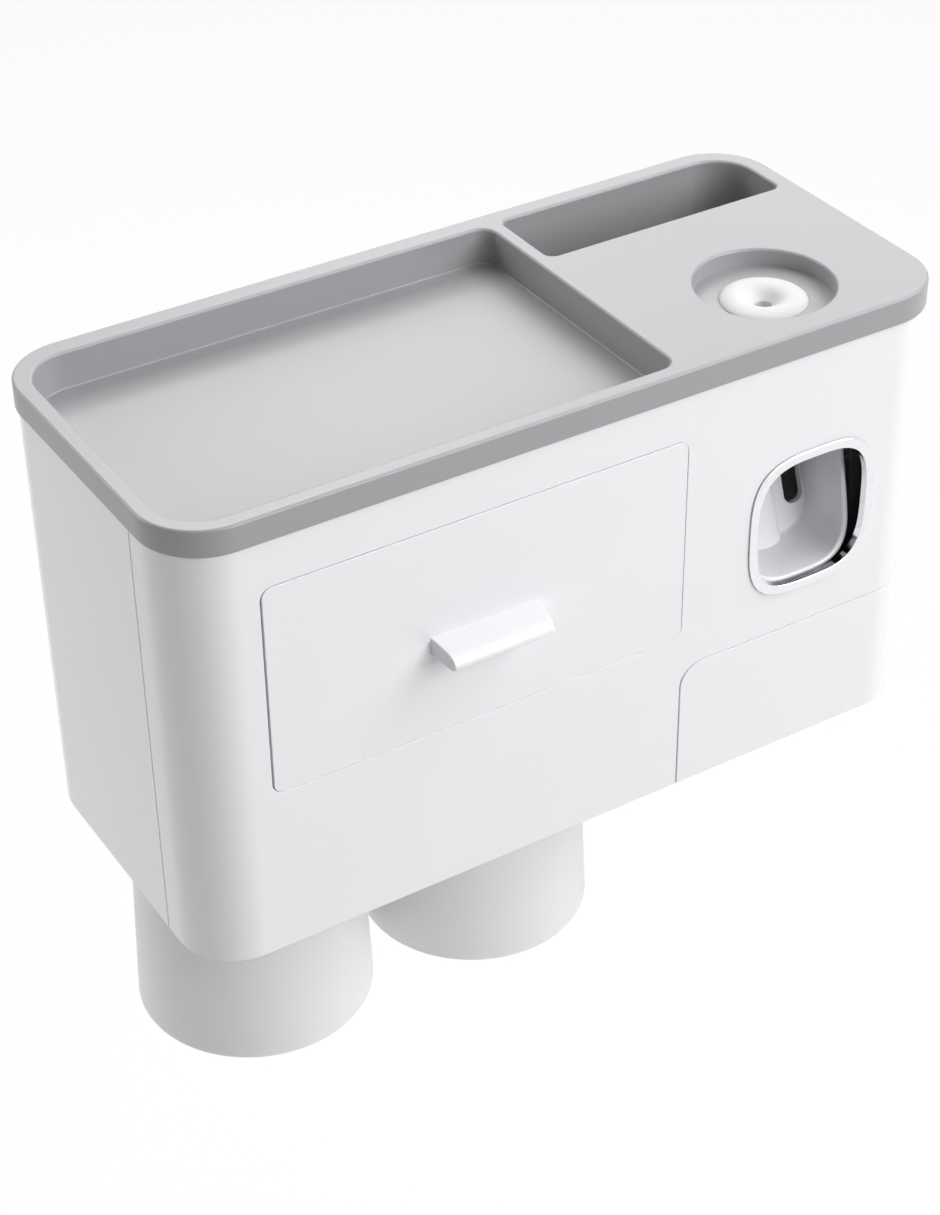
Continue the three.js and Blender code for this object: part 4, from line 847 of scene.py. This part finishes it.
class MakeDrawer(bpy.types.Operator):
    """The drawer with its front panel, and the brow-shaped pull"""

    bl_idname = "holder.make_drawer"
    bl_label = "Drawer"

    def execute(self, context):
        sizes = context.scene.holder_sizes
        left_slit, right_slit, low_slit, high_slit = DRAWER_SLITS
        wide = (DRAWER_WIDE[0] + left_slit, DRAWER_WIDE[1] - right_slit)
        high = (DRAWER_HIGH[0] + low_slit, DRAWER_HIGH[1] - high_slit)
        panel = block("drawer_moulding", wide, (FRONT, FRONT + WALL), high)
        soften(panel, lambda e: runs(e, Y), PANEL_CORNER, 8)
        soften(panel, lambda e: lies(e, Y, FRONT), sizes.case_edge / MM, 3)
        self.tub(panel)
        fit(panel, finishes()["casing"], "drawer", "white_plastic", "drawer_box")
        fit(self.pull(), finishes()["casing"], "drawer", "white_plastic", "drawer_handle")
        return {"FINISHED"}

    def tub(self, panel):
        """Joins the open box and its two stop fingers to the back of the panel."""
        skin, behind = 2.0, FRONT + WALL
        left, right, back, foot, rim = -97.7, 29.2, -16.5, -6.3, 46.7
        above, stop_top = 55.0, 62.1
        tub = block("tool", (left, right), (behind - 0.5, back), (foot, rim))
        soften(tub, lambda e: lies(e, Y, back) and not lies(e, Z, rim), 2.0, 5)
        space = block("tool", (left + skin, right - skin), (behind, back - skin), (foot + skin, above))
        soften(space, lambda e: not lies(e, Z, above), 1.5, 5)
        carve(tub, space)
        soften(tub, lambda e: lies(e, Z, rim) and sharp(e), 0.5, 2)
        weld(panel, tub)
        for x in (left, right - skin):
            stop = block("tool", (x, x + skin), (-35.6, -29.6), (45.0, stop_top))
            soften(stop, lambda e: lies(e, Z, stop_top), 0.5, 2)
            weld(panel, stop)

    def pull(self):
        """A brow with a rounded nose, bevelled below and hollow for the fingertips."""
        root, nose = -108.3, -119.55
        outline = bend((root, 24.3), (-111.5, 24.3), (-114.6, 23.75), 6)
        outline += bend((-114.6, 23.75), (-118.9, 23.2), (nose, 20.5), 10)[1:]
        outline += [(nose, 20.1), (-119.35, 19.75), (-118.2, 18.8), (-117.6, 18.6), (root, 18.6)]
        half_width, taper = 17.0, 1.1
        rings = []
        for end in (-1, 1):
            half = [half_width - taper * (root - y) / (root - nose) for y, z in outline]
            rings.append([(DRAWER_X + end * w, y, z) for w, (y, z) in zip(half, outline)])
        brow = swept("drawer_pull", rings)
        reach, roof, behind = 14.1, 21.9, -107.0
        fingers = block("tool", (DRAWER_X - reach, DRAWER_X + reach), (-117.0, behind), (12.0, roof))
        soften(fingers, lambda e: lies(e, Z, roof) and not lies(e, Y, behind), 0.8, 4)
        carve(brow, fingers)
        soften(brow, lambda e: sharp(e) and not runs(e, X) and self.flank(e), 0.35, 3)
        return brow

    def flank(self, edge):
        """The edge is on one of the pull's two outer ends, beyond the finger space."""
        return all(abs(v.co.x / MM - DRAWER_X) > 15.5 for v in edge.verts)


class MakeDispenser(bpy.types.Operator):
    """The bright window ring, the scoop that is pushed, and the nozzle above it"""

    bl_idname = "holder.make_dispenser"
    bl_label = "Dispenser"

    def execute(self, context):
        sizes = context.scene.holder_sizes
        made = finishes()
        fit(self.ring(sizes), made["ring"], "housing", "bright_trim", "dispenser_bezel")
        fit(self.scoop(), made["casing"], "lever", "white_plastic", "dispenser_lever")
        nozzle = copied("outlet_nozzle", "paste_nozzle")
        fit(nozzle, made["casing"], "piston", "white_plastic", "outlet_nozzle")
        # Painted shade: the frame seen through the window and the scoop's slots is given charcoal
        dress(made["dark"], "dispenser_frame")
        return {"FINISHED"}

    def ring(self, sizes):
        """A flat ring with rounded shoulders and a thin wall into the window."""
        face = sizes.ring_face / MM
        shoulder, wall = 0.45, 0.9
        front, back, foot = -109.45, -108.95, -107.0
        section = [(0.0, foot), (0.0, front + 0.5)]
        middle = front + shoulder
        section += [(shoulder - a, middle - b) for a, b in arc(0, 0, shoulder, 15, 90, 4)]
        section += [(face - shoulder + a, middle - b) for a, b in arc(0, 0, shoulder, 90, 0, 5)]
        section += [(face, back), (wall, back), (wall, foot)]
        return swept("window_ring", [window_ring(sizes, grow, y) for grow, y in section], closed=True)

    def bowl_ring(self, inset, share, back=0.0):
        """One ring of the scoop about its pivot: set back by a share of a depth that grows upwards, with
        a floor that rises to the back."""
        half_width, half_height = SCOOP_HALF
        slope = math.tan(math.radians(SCOOP_SLOPE))
        ring = []
        for a, b in oval(half_width - inset, half_height - inset):
            height = b + SCOOP_RISE * share * max(0.0, -b / half_height)
            depth = SCOOP_DEPTH + (height + half_height) * slope
            ring.append((a, SCOOP_RIM + share * depth + back, height + SCOOP_MIDDLE))
        return ring

    def bowl(self):
        """The deep scoop with a rolled rim and a crisp foot round its back wall."""
        # Inset and share of the depth: up the wall, round its foot, then in over the back wall
        lean, foot, steps = 0.1, 0.95, 6
        flow = [(lean * i / steps, foot * i / steps) for i in range(1, steps + 1)]
        for i in range(1, steps + 1):
            turn = math.radians(90 * i / steps)
            flow.append((lean + (1 - lean) * (1 - math.cos(turn)), foot + (1 - foot) * math.sin(turn)))
        flow += [(inset, 1.0) for inset in (3.0, 6.0, 9.0, 12.0, 15.0, 16.6)]
        rings = [self.bowl_ring(inset, share, SCOOP_SKIN * share) for inset, share in reversed(flow)]
        for i in range(9):
            turn = math.pi * i / 8
            roll = SCOOP_SKIN / 2 * (1 - math.cos(turn))
            rings.append(self.bowl_ring(roll, 0.0, SCOOP_SKIN / 2 - math.sin(turn)))
        # The wall is thinner at the back
        thinning = 0.45
        for inset, share in flow:
            rings.append(self.bowl_ring(inset + SCOOP_SKIN * (1 - thinning * share), share))
        return swept("paste_scoop", rings)

    def rib(self):
        """The flat-oval rib up the middle of the back wall."""
        radius, length, stretch = 3.0, 33.6, 1.2
        rib = rod("tool", radius, (0.0, 0.0, 0.0), length, sides=64)
        rib.scale = (RIB_HALF / radius, stretch, 1.0)
        settle(rib, "tool")
        rib.rotation_euler = (math.radians(-SCOOP_SLOPE), 0.0, 0.0)
        rib.location = Vector((0.0, SCOOP_BACK, SCOOP_MIDDLE)) * MM
        return settle(rib, "tool")

    def open_top(self, scoop):
        """Opens the scoop above between its arms, and cuts the two slots beside the rib."""
        far = 40.0
        for wide in ((-ARM_INNER, -8.0), (8.0, ARM_INNER)):
            carve(scoop, block("tool", wide, (-far, 15.5), (-29.0, far)))
        carve(scoop, block("tool", (-ARM_INNER, ARM_INNER), (-far, far), (-20.0, far)))
        half, foot = 3.4, -36.9
        for x in (-14.0, 14.0):
            slot = block("tool", (x - half, x + half), (9.0, far), (foot, far))
            soften(slot, lambda e: runs(e, Y) and lies(e, Z, foot), 3.0, 8)
            carve(scoop, slot)

    def arm_front(self, edge):
        """The long front edges of an arm."""
        return not runs(edge, X) and all(v.co.y < -2.8 * MM for v in edge.verts)

    def scoop(self):
        """The scoop, its arms and barrel on the pivot, and the fork under the pump."""
        scoop = self.bowl()
        weld(scoop, self.rib())
        self.open_top(scoop)
        side = [(SCOOP_RIM, SCOOP_MIDDLE), (SCOOP_BACK, SCOOP_MIDDLE), (2.9, 0.0), (-2.9, 0.0)]
        for x in (-ARM_INNER - ARM_THICK, ARM_INNER):
            arm = swept("tool", [[(x + d, y, z) for y, z in side] for d in (0.0, ARM_THICK)])
            soften(arm, self.arm_front, 0.9, 4)
            weld(scoop, arm)
        pivot, barrel, bore = (0.0, 0.0, 0.0), 3.4, 1.8
        weld(scoop, rod("tool", barrel, pivot, 37.0, ALONG_X))
        half, tip = 1.4, 1.5
        for x in (-6.0, 6.0):
            tine = block("tool", (x - half, x + half), (0.0, FORK_REACH), (-tip, 0.0))
            weld(tine, rod("tool", tip, (x, FORK_REACH, 0.0), 2 * half, ALONG_X))
            tine.rotation_euler = (math.radians(SCOOP_TILT / 2), 0.0, 0.0)
            weld(scoop, settle(tine, "tool"))
        carve(scoop, rod("tool", bore, pivot, 60.0, ALONG_X))
        scoop.rotation_euler = (math.radians(-SCOOP_TILT), 0.0, 0.0)
        scoop.location = Vector(PIVOT) * MM
        return settle(scoop, "paste_scoop")


class MakeInlet(bpy.types.Operator):
    """The silicone seal that grips the tube"""

    bl_idname = "holder.make_inlet"
    bl_label = "Inlet seal"

    def execute(self, context):
        flange = [(2.8, 71.3), (22.0, 71.3), (22.0, 73.9), (21.8, 74.1), (12.95, 74.1)]
        dome = [(12.95, 75.95), (12.8, 76.25), (12.3, 76.65), (11.5, 77.05), (10.6, 77.35), (9.6, 77.55)]
        dome += [(8.6, 77.6), (7.6, 77.5)]
        funnel = [(6.5, 77.2), (5.5, 76.7), (4.7, 76.0), (4.0, 75.2), (3.3, 74.5), (2.8, 74.0)]
        seal = turned("paste_seal", flange + dome + funnel, PUMP_X, PUMP_Y, closed=True)
        fit(seal, finishes()["silicone"], "housing", "silicone", "inlet_seal")
        return {"FINISHED"}


class MakeBrushBay(bpy.types.Operator):
    """The door that wraps round the right corner, and the slotted rack behind it"""

    bl_idname = "holder.make_brush_bay"
    bl_label = "Brush bay"

    def execute(self, context):
        sizes = context.scene.holder_sizes
        left, top = BAY_LEFT + BAY_SLITS[0], BAY_TOP - BAY_SLITS[1]
        door = block("bay_door", (left, SIDE), (FRONT, HINGE_Y), (LOW, top))
        soften(door, lambda e: lies(e, X, left) and lies(e, Z, top), BAY_CORNER, 12)
        soften(door, lambda e: lies(e, X, SIDE) and lies(e, Y, FRONT), CASE_CORNER, 24)
        inner, behind = SIDE - WALL, FRONT + WALL
        space = block("tool", (0.0, inner), (behind, SEAM + 5), (LOW - 5, BAY_TOP + 5))
        soften(space, lambda e: lies(e, X, inner) and lies(e, Y, behind), CASE_CORNER - WALL, 24)
        carve(door, space)
        weld(door, rod("tool", KNUCKLE - 0.01, (HINGE_X, HINGE_Y, -41.5), 42.98, sides=48))
        reach = KNUCKLE + KNUCKLE_GAP
        for low in KNUCKLE_LOWS:
            tall = (low - KNUCKLE_GAP, low + KNUCKLE_HEIGHT + KNUCKLE_GAP)
            carve(door, block("tool", (HINGE_X - reach, SIDE + 2), (HINGE_Y - reach, SEAM + 1), tall))
        carve(door, rod("tool", 1.1, (HINGE_X, HINGE_Y, -44.4), 41.4))
        soften(door, lambda e: sharp(e) and on_skin(e) and self.ahead(e), sizes.case_edge / MM, 3)
        fit(door, finishes()["casing"], "door", "white_plastic", "brush_door")
        rack = eased("brush_rack", "bay_rack", 0.35, 3)
        fit(rack, finishes()["inner"], "housing", "inner_plastic", "brush_rack")
        return {"FINISHED"}

    def ahead(self, edge):
        """The edge is well in front of the hinge."""
        return all(v.co.y / MM <= HINGE_Y - 3.0 for v in edge.verts)


class MakeCups(bpy.types.Operator):
    """The two tumblers that hang mouth down"""

    bl_idname = "holder.make_cups"
    bl_label = "Cups"

    def execute(self, context):
        finish = finishes()["cups"]
        model = turned("tumbler", self.profile(context.scene.holder_sizes), 0.0, CUP_Y)
        for side, x in CUP_PLACES.items():
            cup = repeated(model, f"tumbler_{side}", x)
            fit(cup, finish, f"{side}_cup", "cup_plastic", f"cup_{side}")
            cap = eased(f"cup_cap_{side}", f"tumbler_cap_{side}", 0.2)
            fit(cap, finish, f"{side}_cup", "cup_plastic", f"cup_cap_{side}")
        bpy.data.objects.remove(model)
        return {"FINISHED"}

    def profile(self, sizes):
        """Radius and height from the magnet's pocket over the base, down to the mouth and up inside."""
        mouth, base = sizes.cup_mouth / MM, sizes.cup_base / MM
        low, high, skin, fillet = -119.5, -17.0, 1.8, 3.0
        pocket_radius, pocket = 10.3, -20.8
        ceiling = pocket - skin
        lean = math.degrees(math.atan((mouth - base) / (high - low)))
        points = [(pocket_radius, pocket), (pocket_radius, high - 0.3), (pocket_radius + 0.3, high)]
        points += arc(base - fillet, high - fillet, fillet, 90, lean, 8)
        points += arc(mouth - skin / 2, low + skin / 2, skin / 2, 0, -180, 8)
        points += arc(base - skin - fillet + 0.4, ceiling - fillet, fillet, lean, 90, 8)
        return points + [(12.0, ceiling)]


class MakeFixings(bpy.types.Operator):
    """Wall plate, tape, pump parts, magnets, pins and screws"""

    bl_idname = "holder.make_fixings"
    bl_label = "Fixings and pump"

    def execute(self, context):
        made = finishes()
        plate = eased("wall_plate", "hanging_plate", 0.35)
        fit(plate, made["inner"], "housing", "inner_plastic", "wall_plate")
        dress(made["foam"], "adhesive_pad")
        dress(made["inner"], "pump_cylinder", "pump_piston")
        dress(made["silicone"], "piston_ring", "outlet_valve", "inlet_valve")
        self.spring(made["steel"])
        dress(made["steel"], "lever_pivot_pin", "door_hinge_pin")
        dress(made["steel"], "cover_screw_left", "cover_screw_right")
        dress(made["steel"], *[f"frame_screw_{i}" for i in range(1, 5)])
        for side in CUP_PLACES:
            dress(made["magnet"], f"cup_magnet_{side}", f"holder_magnet_{side}")
        return {"FINISHED"}

    def spring(self, finish):
        """The wound spring, copied from its solid with a steel finish."""
        spring = copied("return_spring", "pump_spring")
        shade(spring)
        spring.data.materials.append(finish)
        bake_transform(spring)
        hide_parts("return_spring")


class MakeStage(bpy.types.Operator):
    """Floor, soft light and the camera"""

    bl_idname = "holder.make_stage"
    bl_label = "Stage"

    def execute(self, context):
        scene = context.scene
        scene.view_settings.view_transform = "Standard"
        self.floor(scene)
        self.world(scene)
        for lamp in LAMPS:
            self.lamp(*lamp)
        self.camera(scene)
        return {"FINISHED"}

    def floor(self, scene):
        """A wide pale floor, partly self-lit to the eye: it stays white and keeps a soft shadow."""
        deselect()
        place = (0.0, 0.0, -scene.holder_sizes.floor_drop)
        bpy.ops.mesh.primitive_plane_add(size=FLOOR_WIDTH, location=place)
        floor = settle(bpy.context.active_object, "studio_floor")
        material, tree = new_material("studio_floor_paint")
        sight = self.sight(tree)
        share = add(tree, "ShaderNodeMath", {0: sight, 1: FLOOR_GLOW}, operation="MULTIPLY")
        paint = add(tree, "ShaderNodeBsdfDiffuse", {"Color": opaque(scene.holder_colours.floor)})
        glow = add(tree, "ShaderNodeEmission", {"Color": (1.0, 1.0, 1.0, 1.0), "Strength": 1.0})
        mixed = add(
            tree,
            "ShaderNodeMixShader",
            {"Fac": share.outputs["Value"], 1: paint.outputs["BSDF"], 2: glow.outputs["Emission"]},
        )
        add(tree, "ShaderNodeOutputMaterial", {"Surface": mixed.outputs["Shader"]})
        floor.data.materials.append(material)

    def sight(self, tree):
        """1 for what the eye, a mirror or glass sees directly."""
        path = add(tree, "ShaderNodeLightPath")
        mirror = add(
            tree,
            "ShaderNodeMath",
            {0: path.outputs["Is Camera Ray"], 1: path.outputs["Is Glossy Ray"]},
            operation="MAXIMUM",
        )
        glass = add(
            tree,
            "ShaderNodeMath",
            {0: mirror.outputs["Value"], 1: path.outputs["Is Transmission Ray"]},
            operation="MAXIMUM",
        )
        return glass.outputs["Value"]

    def world(self, scene):
        """White to the eye, a dim even fill as light."""
        world = bpy.data.worlds.new("studio_air")
        world.use_nodes = True
        tree = world.node_tree
        tree.nodes.clear()
        strength = add(
            tree, "ShaderNodeMapRange", {"Value": self.sight(tree), "To Min": AIR_FILL, "To Max": 1.0}
        )
        air = add(
            tree,
            "ShaderNodeBackground",
            {"Color": (1.0, 1.0, 1.0, 1.0), "Strength": strength.outputs["Result"]},
        )
        add(tree, "ShaderNodeOutputWorld", {"Surface": air.outputs["Background"]})
        scene.world = world

    def lamp(self, name, place, size, power):
        """A soft rectangular lamp aimed at the holder."""
        deselect()
        aim = Vector(LAMP_TARGET) - Vector(place)
        turn = aim.to_track_quat("-Z", "Y").to_euler()
        bpy.ops.object.light_add(type="AREA", location=place, rotation=turn)
        lamp = bpy.context.active_object
        lamp.name = name
        lamp.data.shape = "RECTANGLE"
        lamp.data.size, lamp.data.size_y = size
        lamp.data.energy = power

    def camera(self, scene):
        """Above the holder, to the left of its front."""
        deselect()
        bpy.ops.object.camera_add(
            location=CAMERA_PLACE,
            rotation=Euler([math.radians(a) for a in CAMERA_TURN]),
        )
        camera = bpy.context.active_object
        camera.name = "studio_camera"
        camera.data.sensor_width = CAMERA_SENSOR
        camera.data.lens = CAMERA_LENS
        scene.camera = camera


PIECES = (
    MakeTray,
    MakeCasing,
    MakeDrawer,
    MakeDispenser,
    MakeInlet,
    MakeBrushBay,
    MakeCups,
    MakeFixings,
    MakeStage,
)


class HolderPanel(bpy.types.Panel):
    """Lists the holder's pieces, sizes and colours"""

    bl_idname = "VIEW3D_PT_holder"
    bl_label = "Toothbrush holder"
    bl_space_type = "VIEW_3D"
    bl_region_type = "UI"
    bl_category = "Holder"

    def draw(self, context):
        for group in (context.scene.holder_sizes, context.scene.holder_colours):
            box = self.layout.box()
            for key in type(group).__annotations__:
                box.prop(group, key)
        for piece in PIECES:
            self.layout.operator(piece.bl_idname)


CLASSES = (HolderSizes, HolderColours, *PIECES, HolderPanel)


def register():
    for item in CLASSES:
        bpy.utils.register_class(item)
    bpy.types.Scene.holder_sizes = PointerProperty(type=HolderSizes)
    bpy.types.Scene.holder_colours = PointerProperty(type=HolderColours)


def unregister():
    del bpy.types.Scene.holder_colours
    del bpy.types.Scene.holder_sizes
    for item in reversed(CLASSES):
        bpy.utils.unregister_class(item)


def main():
    register()
    bpy.ops.holder.make_tray()
    bpy.ops.holder.make_casing()
    bpy.ops.holder.make_drawer()
    bpy.ops.holder.make_dispenser()
    bpy.ops.holder.make_inlet()
    bpy.ops.holder.make_brush_bay()
    bpy.ops.holder.make_cups()
    bpy.ops.holder.make_fixings()
    bpy.ops.holder.make_stage()
    deselect()


if __name__ == "__main__":
    main()
